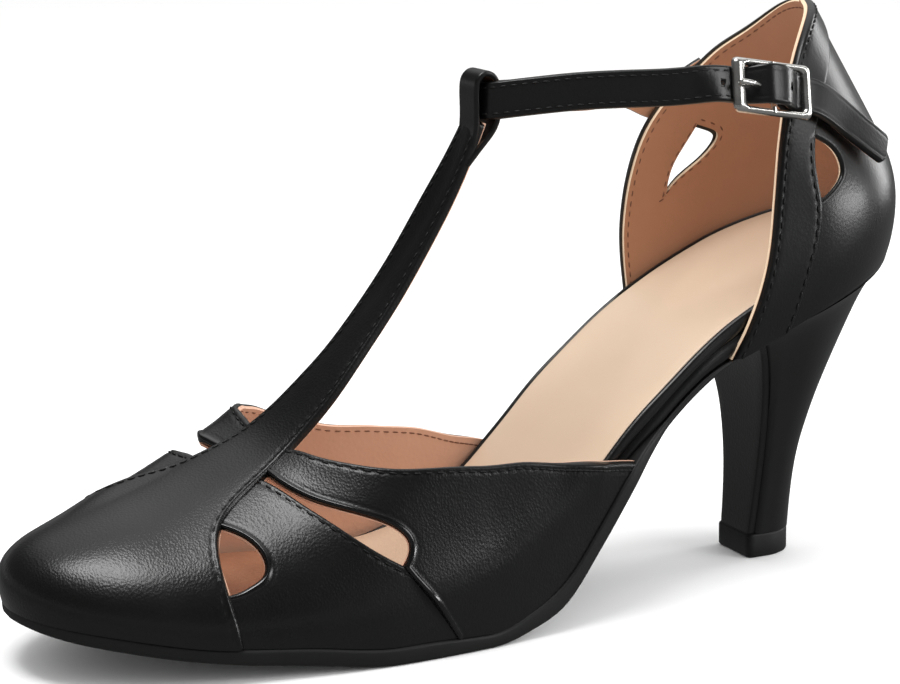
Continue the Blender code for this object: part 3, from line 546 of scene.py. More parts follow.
def closed(loop: np.ndarray) -> np.ndarray:
    """A loop's points with the first one again at the end."""
    return np.vstack([loop, loop[:1]])


def quarter_turn(count: int) -> np.ndarray:
    """Angles from nothing to a right angle."""
    return np.linspace(0, math.pi / 2, count)


# Colours, nodes and finishes
def linear(colour: str) -> tuple[float, float, float, float]:
    """An sRGB hex colour as linear RGBA."""
    parts = [int(colour[i:i + 2], 16) / 255 for i in (1, 3, 5)]
    return (*(p / 12.92 if p <= 0.04045 else ((p + 0.055) / 1.055) ** 2.4 for p in parts), 1.0)


def add_node(tree: bpy.types.NodeTree, kind: str, settings: dict | None = None,
             inputs: dict | None = None) -> bpy.types.Node:
    """Adds a node with its settings, input values and links.

    Args:
        tree: the tree that gets it.
        kind: the node's type name.
        settings: properties of the node.
        inputs: a value, or a socket to link from, for each input by name or number.

    Returns:
        The node.
    """
    node = tree.nodes.new(kind)
    for name, value in (settings or {}).items():
        setattr(node, name, value)
    for name, value in (inputs or {}).items():
        if isinstance(value, bpy.types.NodeSocket):
            tree.links.new(value, node.inputs[name])
        else:
            node.inputs[name].default_value = value
    return node


@dataclass(frozen=True)
class Grain:
    """A pebbled or wrinkled surface pattern."""

    cell_mm: float
    height_mm: float
    stretch: tuple[float, float, float] = (1.0, 1.0, 1.0)
    fine_mm: float = 0.3
    fine_share: float = 0.35
    smoothness: float = 0.25
    warp_mm: float = 0.6
    warp_cells: float = 4.0


MOTTLE_SPAN = (0.3, 0.7)


@dataclass(frozen=True)
class Finish:
    """One real material: its name, colours, gloss and surface pattern."""

    name: str
    slot: str
    colour: str
    second: str
    mottle_mm: float
    roughness: float
    roughness_spread: float = 0.05
    metallic: float = 0.0
    ior: float = 1.5
    coat: float = 0.0
    coat_roughness: float = 0.2
    sheen: float = 0.0
    grain: Grain | None = None

    def material(self) -> bpy.types.Material:
        """The material, built once.

        Returns:
            A node material on Object coordinates.
        """
        found = bpy.data.materials.get(self.name)
        if found:
            return found
        material = bpy.data.materials.new(self.name)
        material.use_nodes = True
        tree = material.node_tree
        tree.nodes.clear()
        place = add_node(tree, "ShaderNodeTexCoord").outputs["Object"]
        mottle = add_node(tree, "ShaderNodeTexNoise", inputs={
            "Vector": place, "Scale": 1 / (self.mottle_mm * MM), "Detail": 4.0, "Roughness": 0.6})
        colour = add_node(tree, "ShaderNodeMix", {"data_type": "RGBA"}, {
            "Factor": mottle.outputs["Fac"], 6: linear(self.colour), 7: linear(self.second)})
        gloss = add_node(tree, "ShaderNodeMapRange", inputs={
            "Value": mottle.outputs["Fac"], "From Min": MOTTLE_SPAN[0], "From Max": MOTTLE_SPAN[1],
            "To Min": self.roughness - self.roughness_spread,
            "To Max": self.roughness + self.roughness_spread})
        shader = add_node(tree, "ShaderNodeBsdfPrincipled", inputs={
            "Base Color": colour.outputs[2], "Roughness": gloss.outputs["Result"], "Metallic": self.metallic,
            "IOR": self.ior, "Coat Weight": self.coat, "Coat Roughness": self.coat_roughness,
            "Sheen Weight": self.sheen})
        if self.grain:
            tree.links.new(self._bump(tree, place, self.grain), shader.inputs["Normal"])
        add_node(tree, "ShaderNodeOutputMaterial", inputs={"Surface": shader.outputs["BSDF"]})
        return material

    def _bump(self, tree: bpy.types.NodeTree, place: bpy.types.NodeSocket,
              grain: Grain) -> bpy.types.NodeSocket:
        """Bump of wrinkles with fine pores between them.

        Args:
            tree: the material's tree.
            place: coordinates in metres.
            grain: the pattern's sizes.

        Returns:
            The normal's socket.
        """
        cell = grain.cell_mm * MM
        waves = add_node(tree, "ShaderNodeTexNoise", inputs={
            "Vector": place, "Scale": 1 / (cell * grain.warp_cells)})
        bent = add_node(tree, "ShaderNodeVectorMath", {"operation": "MULTIPLY_ADD"}, {
            0: waves.outputs["Color"], 1: (grain.warp_mm * MM,) * 3, 2: place})
        turned = add_node(tree, "ShaderNodeMapping", inputs={
            "Vector": bent.outputs[0], "Scale": grain.stretch})
        cells = add_node(tree, "ShaderNodeTexVoronoi", {"feature": "SMOOTH_F1"}, {
            "Vector": turned.outputs[0], "Scale": 1 / cell, "Smoothness": grain.smoothness})
        pores = add_node(tree, "ShaderNodeTexNoise", inputs={
            "Vector": turned.outputs[0], "Scale": 1 / (grain.fine_mm * MM), "Detail": 2.0})
        height = add_node(tree, "ShaderNodeMath", {"operation": "MULTIPLY_ADD"}, {
            0: pores.outputs["Fac"], 1: grain.fine_share, 2: cells.outputs["Distance"]})
        return add_node(tree, "ShaderNodeBump", inputs={
            "Strength": 1.0, "Distance": grain.height_mm * MM, "Height": height.outputs[0]}).outputs["Normal"]


# Smooth black calf leather with a fine boarded grain: short wrinkles across the foot, soft broad highlights
LEATHER = Finish("calf_leather_black", "black_leather", "#070707", "#0b0b0b", 22.0, 0.31, 0.04, coat=0.12,
                 coat_roughness=0.22, grain=Grain(0.5, 0.04, (1.0, 0.75, 0.75)))
# The same leather where it was pulled tight on the back and the straps: its grain is faint
SMOOTH_LEATHER = Finish("calf_leather_smooth", "black_leather", "#070707", "#0b0b0b", 22.0, 0.32, 0.04,
                        coat=0.1, coat_roughness=0.25, grain=Grain(0.62, 0.018, (1.0, 0.8, 0.8)))
# Dyed and polished fold of a rolled edge: glossy black without grain
EDGE_DYE = Finish("edge_dye_black", "black_leather", "#060606", "#0a0a0a", 5.0, 0.17, 0.03, coat=0.3)
# The same leather stretched over the heel: its grain is pulled nearly flat
HEEL_LEATHER = Finish("heel_leather_black", "heel_cover", "#080808", "#0d0d0d", 18.0, 0.38, 0.04, coat=0.1,
                      coat_roughness=0.3, grain=Grain(0.8, 0.012))
# Moulded rubber: dull, with a faint mould texture
RUBBER = Finish("sole_rubber_black", "black_rubber", "#0a0a0a", "#101010", 9.0, 0.55, 0.06,
                grain=Grain(0.7, 0.015))
# Pigskin-like lining: dull tan with small pores
LINING = Finish("lining_tan", "beige_sock", "#aa7656", "#b88564", 14.0, 0.62, 0.05, sheen=0.1,
                grain=Grain(0.9, 0.03))
# The same lining in the front, painted a lighter tan than the quarter's lining: painted light where the front
# lining is more brightly lit
VAMP_LINING_PAINTED_LIGHT = Finish("lining_tan_painted_light", "beige_sock", "#d0a288", "#daaf95", 14.0, 0.6, 0.05, sheen=0.1,
                     grain=Grain(1.1, 0.04))
# Cut edge of the lining: pale and fuzzy
RAW_EDGE = Finish("lining_cut_edge", "beige_sock", "#e6c9a8", "#f0d8bb", 3.0, 0.75, 0.05)
# Sock lining of coated leather: smooth beige with a satin shine
SOCK = Finish("sock_leather_beige", "beige_sock", "#d4bba1", "#dcc4ab", 30.0, 0.42, 0.06,
              grain=Grain(0.9, 0.012))
# Nickel-plated steel, barrel polished: bright with a satin haze
STEEL = Finish("buckle_steel_polished", "polished_steel", "#dddcd8", "#e8e7e4", 4.0, 0.25, 0.04, metallic=1.0)
# Twisted polyester thread: black, slightly shiny
THREAD = Finish("thread_black", "black_leather", "#070707", "#0d0d0d", 0.6, 0.55, 0.08)
# The lining's brown thread
BROWN_THREAD = Finish("thread_brown", "beige_sock", "#6d4733", "#7d5440", 0.6, 0.6, 0.06)


# Meshes
SHARP_DEGREES = 45.0
PANEL_SHARP_DEGREES = 60.0


def to_part(points: np.ndarray) -> np.ndarray:
    """Millimetres of the shoemaker's frame as metres of the part's frame."""
    return (np.asarray(points, float) - ORIGIN) * MM


def make_piece(name: str, points: np.ndarray, faces: list, finishes: list[Finish],
               marks: list[int] | None = None, sharp: float = SHARP_DEGREES,
               recalculate: bool = False) -> bpy.types.Object:
    """A finished mesh object at the origin.

    Args:
        name: the piece's name.
        points: vertices in millimetres of the shoemaker's frame.
        faces: vertex numbers of each face.
        finishes: its materials.
        marks: material number of each face.
        sharp: edges that turn by more than this many degrees are drawn sharp.
        recalculate: turn all faces outwards.

    Returns:
        The object.
    """
    mesh = bpy.data.meshes.new(name)
    mesh.from_pydata(to_part(points).tolist(), [], faces)
    if marks is not None:
        mesh.polygons.foreach_set("material_index", np.asarray(marks, np.int32))
    if recalculate:
        form = bmesh.new()
        form.from_mesh(mesh)
        bmesh.ops.recalc_face_normals(form, faces=form.faces)
        form.to_mesh(mesh)
        form.free()
    mesh.shade_smooth()
    mesh.set_sharp_from_angle(angle=math.radians(sharp))
    thing = bpy.data.objects.new(name, mesh)
    bpy.context.scene.collection.objects.link(thing)
    for finish in finishes:
        mesh.materials.append(finish.material())
    return thing


def enter(thing: bpy.types.Object, finish: Finish, *nodes: str) -> None:
    """Ties a piece to the part.

    Args:
        thing: the piece.
        finish: not used.
        nodes: solids that it stands for.
    """
    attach(thing, BODY)
    if nodes:
        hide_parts(*nodes)
    LOG.info("%s: %d faces", thing.name, len(thing.data.polygons))


def loft(name: str, rings: np.ndarray | list, finishes: list[Finish],
         ring_marks: list[int] | None = None) -> bpy.types.Object:
    """A closed solid through rings of equally many points, capped by fans at both ends.

    Args:
        name: the piece's name.
        rings: points as ring, place and coordinate.
        finishes: its materials.
        ring_marks: material number of each strip round the rings.

    Returns:
        The object.
    """
    rings = np.asarray(rings, float)
    count = rings.shape[1]
    points = np.vstack([rings.reshape(-1, 3), rings[0].mean(axis=0), rings[-1].mean(axis=0)])
    faces = []
    marks = []
    for i in range(len(rings) - 1):
        for j in range(count):
            k = (j + 1) % count
            faces.append((i * count + j, i * count + k, (i + 1) * count + k, (i + 1) * count + j))
            marks.append(ring_marks[j] if ring_marks else 0)
    last = (len(rings) - 1) * count
    middle = len(rings) * count
    for j in range(count):
        k = (j + 1) % count
        faces.append((middle, k, j))
        faces.append((middle + 1, last + j, last + k))
        marks += [0, 0]
    return make_piece(name, points, faces, finishes, marks, recalculate=True)


# Leather panels
@dataclass(frozen=True)
class EdgeForm:
    """Cross section of a panel's edge, in millimetres from the edge."""

    fold: float
    roll_width: float = 0.0
    roll_height: float = 0.0
    groove_at: float = 0.0
    groove_depth: float = 0.0
    pucker: float = 0.0
    shiny: float = 0.0


class Edge(Enum):
    """How a panel's edge is finished."""

    STITCHED = EdgeForm(0.75, groove_at=1.35, groove_depth=0.16, pucker=0.55)
    LIPPED = EdgeForm(0.95, roll_width=1.9, roll_height=0.14, groove_at=1.6, groove_depth=0.2, pucker=0.6)
    ROLLED = EdgeForm(0.8, roll_width=1.6, roll_height=0.3, groove_at=1.75, groove_depth=0.1, shiny=1.4)
    FOLDED = EdgeForm(0.9)
    POLISHED = EdgeForm(1.7)


@dataclass
class Drape:
    """A soft ridge or trough in a panel: its line on the flat pattern, height and half width."""

    line: np.ndarray
    height: float
    reach: float


@dataclass
class Border:
    """A finished edge of a panel: its line on the flat pattern, its form and where its stitches start."""

    line: np.ndarray
    edge: Edge
    sewn_from: float = 0.0


STITCH_PITCH = 2.6
THREAD_LIFT = 0.08
TRIANGLE_ROW = math.sqrt(0.75)
GROOVE_WIDTH = 0.4
RIM_ROWS = (0.18, 0.4, 0.7, 1.05, 1.45, 1.9, 2.4, 3.0)
CLEAR_OF_EDGE = 0.55
CLEAR_OF_RIM = 0.4
CLEAR_OF_LOOP = 0.12
OWN_ROW = 0.93
SAME_POINT = 1e-5
CLEAR_OF_BORDER = 0.9
FEWEST_STITCHES = 4


@dataclass
class Panel:
    """One cut piece of leather laid on the last, with finished edges."""

    name: str
    surface: Surface
    outline: np.ndarray
    borders: list[Border]
    low: float
    high: float
    holes: list[np.ndarray] = field(default_factory=list)
    spacing: float = 1.5
    rim_rows: tuple[float, ...] = RIM_ROWS
    drapes: list[Drape] = field(default_factory=list)

    def triangles(self) -> tuple[np.ndarray, np.ndarray]:
        """Flat points and triangles, closer together at finished edges.

        Returns:
            Flat points and the corner numbers of each triangle.
        """
        loops = [self.outline] + self.holes
        low = self.outline.min(axis=0)
        high = self.outline.max(axis=0)
        grid = []
        for i, across in enumerate(np.arange(low[1], high[1], self.spacing * TRIANGLE_ROW)):
            first = low[0] + (self.spacing / 2 if i % 2 else 0)
            grid += [(along, across) for along in np.arange(first, high[0], self.spacing)]
        grid = self._inside(np.array(grid))
        for loop in loops:
            grid = grid[along_line(grid, closed(loop))[0] > self.spacing * CLEAR_OF_EDGE]
        for border in self.borders:
            grid = grid[along_line(grid, border.line)[0] > self.rim_rows[-1] + self.spacing * CLEAR_OF_RIM]
        rim = []
        for border in self.borders:
            for row in self.rim_rows:
                for side in (-row, row):
                    line = self._inside(offset_line(border.line, side))
                    if len(line):
                        near = np.min([along_line(line, other.line)[0] for other in self.borders], axis=0)
                        rim.append(line[near > row * OWN_ROW])
        extra = np.vstack([grid, *rim])
        for loop in loops:
            extra = extra[along_line(extra, closed(loop))[0] > CLEAR_OF_LOOP]
        points = []
        edges = []
        for loop in loops:
            first = len(points)
            points += list(loop)
            edges += [(first + i, first + (i + 1) % len(loop)) for i in range(len(loop))]
        points += list(extra)
        result = delaunay_2d_cdt([Vector(p) for p in points], edges, [], 0, SAME_POINT)
        flat = np.array([tuple(p) for p in result[0]])
        faces = np.array([tuple(face) for face in result[2]])
        faces = faces[self._on_panel(flat[faces].mean(axis=1))]
        used = np.unique(faces)
        renumber = np.full(len(flat), -1)
        renumber[used] = np.arange(len(used))
        return flat[used], renumber[faces]

    def _on_panel(self, points: np.ndarray) -> np.ndarray:
        """Tells which points lie on the panel.

        Args:
            points: flat points.

        Returns:
            True for each point in the outline and in no hole.
        """
        keep = inside_polygon(points, self.outline)
        for hole in self.holes:
            keep &= ~inside_polygon(points, hole)
        return keep

    def _inside(self, points: np.ndarray) -> np.ndarray:
        """Those of the points that lie on the panel."""
        return points[self._on_panel(points)]

    def heights(self, flat: np.ndarray) -> np.ndarray:
        """Height of the outer face over the last, with folds, rolls and stitch grooves.

        Args:
            flat: points on the flat pattern.

        Returns:
            Heights in millimetres.
        """
        fold = np.ones(len(flat))
        extra = np.zeros(len(flat))
        for border in self.borders:
            form = border.edge.value
            distance, place = along_line(flat, border.line)
            fold = np.minimum(fold, np.sqrt(1 - (1 - np.clip(distance / form.fold, 0, 1)) ** 2))
            if form.roll_width:
                share = np.clip(distance / form.roll_width, 0, 1)
                extra += form.roll_height * np.clip(1 - (2 * share - 1) ** 2, 0, 1)
            if form.groove_depth:
                wave = 1 - form.pucker * (0.5 - 0.5 * np.cos(2 * math.pi * place / STITCH_PITCH))
                extra -= form.groove_depth * wave * np.exp(-((distance - form.groove_at) / GROOVE_WIDTH) ** 2)
        for drape in self.drapes:
            extra += drape.height * np.exp(-(along_line(flat, drape.line)[0] / drape.reach) ** 2)
        return self.low + (self.high - self.low) * fold + extra * fold

    def sewn(self) -> list[StitchRow]:
        """Stitch rows along the sewn borders.

        Returns:
            For each row its points in millimetres and the normals there.
        """
        rows = []
        for border in self.borders:
            form = border.edge.value
            if not form.pucker:
                continue
            reach = lengths(border.line)
            where = np.arange(border.sewn_from + STITCH_PITCH / 2, reach[-1], STITCH_PITCH)
            for side in (-form.groove_at, form.groove_at):
                flat = at_lengths(where, reach, offset_line(border.line, side))
                clear = along_line(flat, border.line)[0] > form.groove_at * CLEAR_OF_BORDER
                flat = flat[inside_polygon(flat, self.outline) & clear]
                if len(flat) >= FEWEST_STITCHES:
                    normal = self.surface.normal(*self.surface.place(flat).T)
                    rows.append((self.surface.lift(flat, self.heights(flat) + THREAD_LIFT), normal))
        return rows

    def build(self, finishes: list[Finish], wall_mark: int = 0, shiny_mark: int = 0) -> bpy.types.Object:
        """The panel's mesh: outer face, inner face and the narrow wall between them.

        Args:
            finishes: its materials, the first on both faces.
            wall_mark: material number of the wall.
            shiny_mark: material number of the polished edges.

        Returns:
            The object.
        """
        flat, faces = self.triangles()
        place = self.surface.place(flat)
        base = self.surface.point(*place.T)
        normal = self.surface.normal(*place.T)
        top = base + normal * self.heights(flat)[:, None]
        bottom = base + normal * self.low
        a, b, c = (top[faces[:, i]] for i in range(3))
        if np.sum(np.cross(b - a, c - a) * normal[faces[:, 0]]) < 0:
            faces = faces[:, ::-1]
        count = len(flat)
        steps = np.concatenate([faces[:, [0, 1]], faces[:, [1, 2]], faces[:, [2, 0]]])
        known = {tuple(step) for step in steps.tolist()}
        walls = [(a, b) for a, b in known if (b, a) not in known]
        polygons = [tuple(f) for f in faces.tolist()]
        polygons += [tuple(v + count for v in reversed(f)) for f in faces.tolist()]
        polygons += [(b, a, a + count, b + count) for a, b in sorted(walls)]
        outer = np.zeros(len(faces), int)
        for border in self.borders:
            outer[along_line(flat[faces].mean(axis=1), border.line)[0] < border.edge.value.shiny] = shiny_mark
        marks = [*outer.tolist(), *[0] * len(faces), *[wall_mark] * len(walls)]
        return make_piece(self.name, np.vstack([top, bottom]), polygons, finishes, marks, PANEL_SHARP_DEGREES)


# Stitches
class StitchMaker:
    """Sews rows of stitches, one small thread loop on each point, with a Geometry Nodes tree."""

    def __init__(self) -> None:
        """Builds the tree with its named inputs."""
        tree = bpy.data.node_groups.new("stitch_rows", "GeometryNodeTree")
        sockets = (("Geometry", "NodeSocketGeometry"), ("Stitch Length", "NodeSocketFloat"),
                   ("Thread Width", "NodeSocketFloat"), ("Thread", "NodeSocketMaterial"))
        self.inputs = {name: tree.interface.new_socket(name, in_out="INPUT", socket_type=kind).identifier
                       for name, kind in sockets}
        tree.interface.new_socket("Geometry", in_out="OUTPUT", socket_type="NodeSocketGeometry")
        given = add_node(tree, "NodeGroupInput")
        ball = add_node(tree, "GeometryNodeMeshUVSphere", inputs={"Segments": 6, "Rings": 5, "Radius": 0.5})
        size = add_node(tree, "ShaderNodeCombineXYZ", inputs={
            "X": given.outputs["Stitch Length"], "Y": given.outputs["Thread Width"],
            "Z": given.outputs["Thread Width"]})
        heading, facing = (add_node(tree, "GeometryNodeInputNamedAttribute", {"data_type": "FLOAT_VECTOR"},
                                    {"Name": name}) for name in ("heading", "facing"))
        turn = add_node(tree, "FunctionNodeAxesToRotation", {"primary_axis": "X", "secondary_axis": "Z"}, {
            0: heading.outputs[0], 1: facing.outputs[0]})
        sown = add_node(tree, "GeometryNodeInstanceOnPoints", inputs={
            "Points": given.outputs["Geometry"], "Instance": ball.outputs["Mesh"],
            "Rotation": turn.outputs[0], "Scale": size.outputs[0]})
        real = add_node(tree, "GeometryNodeRealizeInstances", inputs={"Geometry": sown.outputs[0]})
        smooth = add_node(tree, "GeometryNodeSetShadeSmooth", inputs={"Geometry": real.outputs[0]})
        dyed = add_node(tree, "GeometryNodeSetMaterial", inputs={
            "Geometry": smooth.outputs[0], "Material": given.outputs["Thread"]})
        add_node(tree, "NodeGroupOutput", inputs={0: dyed.outputs[0]})
        self.tree = tree

    def sew(self, name: str, rows: list[StitchRow], thread: Finish, length: float = 1.9,
            width: float = 0.5) -> bpy.types.Object:
        """Stitches along rows of points.

        Args:
            name: the piece's name.
            rows: for each row the points in millimetres, a stitch apart, and the normals there.
            thread: the thread's finish.
            length: stitch length in millimetres.
            width: thread width in millimetres.

        Returns:
            The object.
        """
        points = np.vstack([row for row, _ in rows])
        facing = np.vstack([normals for _, normals in rows])
        heading = unit(np.vstack([np.gradient(row, axis=0) for row, _ in rows]))
        mesh = bpy.data.meshes.new(name)
        mesh.from_pydata(to_part(points).tolist(), [], [])
        for key, values in (("heading", heading), ("facing", facing)):
            mesh.attributes.new(key, "FLOAT_VECTOR", "POINT").data.foreach_set("vector", values.ravel())
        holder = bpy.data.objects.new(name + "_points", mesh)
        bpy.context.scene.collection.objects.link(holder)
        step = holder.modifiers.new("stitches", "NODES")
        step.node_group = self.tree
        step[self.inputs["Stitch Length"]] = length * MM
        step[self.inputs["Thread Width"]] = width * MM
        step[self.inputs["Thread"]] = thread.material()
        graph = bpy.context.evaluated_depsgraph_get()
        sewn = bpy.data.meshes.new_from_object(holder.evaluated_get(graph), depsgraph=graph)
        bpy.data.objects.remove(holder)
        sewn.name = name
        if not sewn.materials:
            sewn.materials.append(thread.material())
        thing = bpy.data.objects.new(name, sewn)
        bpy.context.scene.collection.objects.link(thing)
        return thing


# The upper's front
WALL = 1.8
LINING_FACE = -0.9
UNDER = 1.2
FINE_STEP = 0.4
TRIM = 2
SLIT_TRIM = 3


def lining_row(surface: Surface, line: np.ndarray) -> StitchRow:
    """Stitch places on the lining's inner face.

    Args:
        surface: the surface of the last.
        line: the row's line on the flat pattern.

    Returns:
        Points and the normals into the shoe.
    """
    path = smooth_path(line, FINE_STEP)
    reach = lengths(path)
    flat = at_lengths(np.arange(STITCH_PITCH / 2, reach[-1], STITCH_PITCH), reach, path)
    return surface.lift(flat, -WALL), -surface.normal(*surface.place(flat).T)


@dataclass
class SidePattern:
    """Cut lines of one side of the vamp, as (along, share) rows."""

    sign: int
    toe_edge: Rows
    tear: Rows
    tear_front: Rows
    wedge_top: Rows
    wing_front: Rows
    wing_seam: Rows
    topline: Rows


OUTER = SidePattern(
    -1,
    ((42.2, 1.0), (41.0, 0.80), (40.9, 0.60), (43.6, 0.43), (50.0, 0.34), (58.0, 0.283), (66.0, 0.245),
     (74.6, 0.211), (86.0, 0.152), (97.0, 0.110), (105.0, 0.092), (114.1, 0.096)),
    ((39.9, 0.728), (42.6, 0.724), (45.3, 0.708), (48.8, 0.67), (49.5, 0.635), (49.3, 0.583), (46.2, 0.475),
     (42.8, 0.405)),
    ((43.4, 0.435), (41.9, 0.50), (40.95, 0.58), (40.9, 0.66), (41.0, 0.73)),
    ((55.2, 0.275), (58.5, 0.385), (61.3, 0.473), (65.6, 0.578), (70.4, 0.671), (75.8, 0.748), (80.6, 0.80)),
    ((56.4, 0.262), (58.0, 0.34), (63.0, 0.475), (68.2, 0.556), (75.3, 0.643), (78.9, 0.691), (80.6, 0.73),
     (79.9, 0.763), (78.4, 0.782)),
    ((78.4, 0.782), (80.4, 0.826), (83.8, 0.887), (90.0, 1.0)),
    ((62.4, 0.232), (63.7, 0.256), (66.8, 0.335), (72.8, 0.444), (81.8, 0.545), (92.6, 0.615), (104.2, 0.682),
     (116.3, 0.763), (128.7, 0.867), (133.9, 0.92), (140.5, 1.0)))
INNER = SidePattern(
    1,
    ((27.5, 1.0), (25.5, 0.80), (24.8, 0.60), (25.3, 0.42), (26.6, 0.29), (29.0, 0.21), (33.5, 0.145),
     (38.0, 0.097), (42.0, 0.06), (50.0, 0.022), (58.0, 0.015), (65.0, 0.012), (72.0, 0.024),
     (78.0, 0.034), (84.0, 0.058), (90.0, 0.086), (97.0, 0.108), (105.0, 0.116), (110.0, 0.108),
     (114.1, 0.098)),
    ((24.3, 0.728), (27.1, 0.724), (29.8, 0.708), (33.3, 0.67), (34.0, 0.635), (33.8, 0.583), (30.7, 0.475),
     (26.6, 0.33)),
    ((26.4, 0.345), (25.3, 0.43), (24.8, 0.58), (24.8, 0.66), (25.0, 0.73)),
    ((48.2, 0.008), (47.8, 0.049), (46.6, 0.10), (45.8, 0.163), (46.2, 0.22), (48.5, 0.31), (53.0, 0.42),
     (58.5, 0.53), (65.5, 0.635), (72.6, 0.71)),
    ((52.2, 0.006), (51.7, 0.033), (50.9, 0.079), (50.5, 0.13), (51.0, 0.17), (52.6, 0.24), (57.0, 0.33),
     (61.5, 0.41), (67.0, 0.50), (71.0, 0.57), (73.0, 0.62), (72.3, 0.67), (70.8, 0.692)),
    ((70.8, 0.692), (72.6, 0.74), (75.6, 0.82), (82.0, 1.0)),
    ((61.0, 0.004), (60.9, 0.033), (60.8, 0.063), (60.6, 0.10), (60.7, 0.15), (61.4, 0.20), (62.6, 0.23),
     (64.2, 0.274), (66.9, 0.328), (71.7, 0.422), (81.1, 0.558), (86.4, 0.612), (98.9, 0.687), (113.4, 0.782),
     (123.4, 0.868), (134.0, 1.0)))


def signed(rows: Rows, sign: int) -> np.ndarray:
    """Pattern rows on the outer (-1) or inner (1) side."""
    return np.array([(along, sign * share) for along, share in rows])


@dataclass
class Vamp:
    """Front of the upper: toe piece with T-strap, a wedge and a wing panel each side, and the lining."""

    toe_height: float = 0.7
    wedge_height: float = -0.2
    wing_height: float = 0.25
    stitch_margin: float = 1.2
    stitch_span: tuple[int, int] = (8, -4)
    lining_inset: float = 0.9
    sewn_from: float = 27.0
    ridge_rows: Rows = ((76.0, 0.895), (90.6, 0.868), (104.8, 0.848), (115.0, 0.842), (123.0, 0.85),
                        (129.0, 0.868))
    ridge: Pair = (1.3, 6.0)
    trough_rows: Rows = ((76.0, 0.74), (90.6, 0.712), (104.8, 0.70), (115.0, 0.72), (123.0, 0.76),
                         (128.5, 0.80))
    trough: Pair = (-0.4, 7.0)
    toe_start: float = 0.05
    strap_from: float = 2.0
    lining_spacing: float = 1.9
    line_step: float = 0.65
    side_step: float = 0.52
    crest: Front = field(default_factory=lambda: Front(0))
    sides: dict[int, Front] = field(default_factory=lambda: {-1: Front(-1), 1: Front(1)})

    def edge(self, pattern: SidePattern) -> np.ndarray:
        """The toe piece's edge on the crest's flat pattern, from the feather edge up."""
        return smooth_path(self.crest.flat(signed(pattern.toe_edge, pattern.sign)), self.line_step)

    def foot(self, surface: Surface, start: float, end: float, sign: int) -> np.ndarray:
        """The feather edge between two places along.

        Args:
            surface: the surface whose flat pattern it lies on.
            start: first place along.
            end: last place along.
            sign: -1 for the outer side, 1 for the inner.

        Returns:
            Flat points.
        """
        count = int(abs(end - start) / self.line_step) + 8
        along = np.linspace(math.sqrt(start), math.sqrt(end), count) ** 2
        return surface.flat(np.column_stack([along, np.full(count, float(sign))]))

    def round_toe(self, out: float, inner: float) -> np.ndarray:
        """The feather edge round the toe, between places along on the outer and the inner side."""
        return np.vstack([self.foot(self.crest, out, self.toe_start, -1),
                          self.foot(self.crest, self.toe_start, inner, 1)])

    def toe_piece(self) -> Panel:
        """Toe piece and T-strap in one.

        Returns:
            The panel.
        """
        out, inner = self.edge(OUTER), self.edge(INNER)
        outline = clean_loop(out[::-1], self.round_toe(OUTER.toe_edge[0][0], INNER.toe_edge[0][0]), inner)
        borders = [Border(line, Edge.LIPPED, self.sewn_from) for line in (out, inner)]
        return Panel("toe_piece", self.crest, outline, borders, LINING_FACE, self.toe_height)

    def lines(self, pattern: SidePattern) -> dict[str, np.ndarray]:
        """One side's cut lines on that side's flat pattern.

        Args:
            pattern: the side's pattern.

        Returns:
            The lines by name, with the line that the side panels are tucked to under the toe piece.
        """
        side = self.sides[pattern.sign]
        found = {name: smooth_path(side.flat(signed(getattr(pattern, name), pattern.sign)), self.side_step)
                 for name in ("tear", "tear_front", "wedge_top", "wing_front", "wing_seam", "topline")}
        tucked = offset_line(self.edge(pattern), -pattern.sign * UNDER)
        found["tucked"] = side.flat(self.crest.place(tucked))
        return found

    def wedge(self, pattern: SidePattern, name: str) -> Panel:
        """Panel between the teardrop and the slit.

        Args:
            pattern: the side's pattern.
            name: the piece's name.

        Returns:
            The panel.
        """
        side = self.sides[pattern.sign]
        line = self.lines(pattern)
        seam = line["wing_seam"] + np.array([UNDER, 0.0])
        foot = self.foot(side, pattern.wing_seam[-1][0] + UNDER, pattern.toe_edge[0][0] - UNDER, pattern.sign)
        lower = cut_line(line["tucked"], foot[-1], line["tear"][0])
        upper = cut_line(line["tucked"], line["tear"][-1], line["wedge_top"][0])
        outline = clean_loop(foot, lower, line["tear"], upper, line["wedge_top"], seam[TRIM:])
        borders = [Border(line["tear"], Edge.ROLLED), Border(line["wedge_top"], Edge.STITCHED)]
        return Panel(name, side, outline, borders, LINING_FACE, self.wedge_height)

    def wing(self, pattern: SidePattern, name: str) -> Panel:
        """Panel from the slit to the open waist, draped over the ball of the foot.

        Args:
            pattern: the side's pattern.
            name: the piece's name.

        Returns:
            The panel.
        """
        side = self.sides[pattern.sign]
        line = self.lines(pattern)
        front = np.vstack([line["wing_front"], line["wing_seam"][1:]])
        foot = self.foot(side, pattern.wing_seam[-1][0], pattern.topline[-1][0], pattern.sign)
        tucked = cut_line(line["tucked"], line["topline"][0], front[0])
        outline = clean_loop(front, foot, line["topline"][::-1], tucked)
        drapes = [Drape(smooth_path(side.flat(signed(rows, pattern.sign)), self.line_step), *size)
                  for rows, size in ((self.ridge_rows, self.ridge), (self.trough_rows, self.trough))]
        borders = [Border(front, Edge.ROLLED), Border(line["topline"], Edge.STITCHED)]
        return Panel(name, side, outline, borders, LINING_FACE, self.wing_height, drapes=drapes)

    def lining_stitches(self) -> list[StitchRow]:
        """Stitch row on the lining under the inner topline."""
        line = offset_line(self.lines(INNER)["topline"], -self.stitch_margin)
        return [lining_row(self.sides[INNER.sign], line[slice(*self.stitch_span)])]

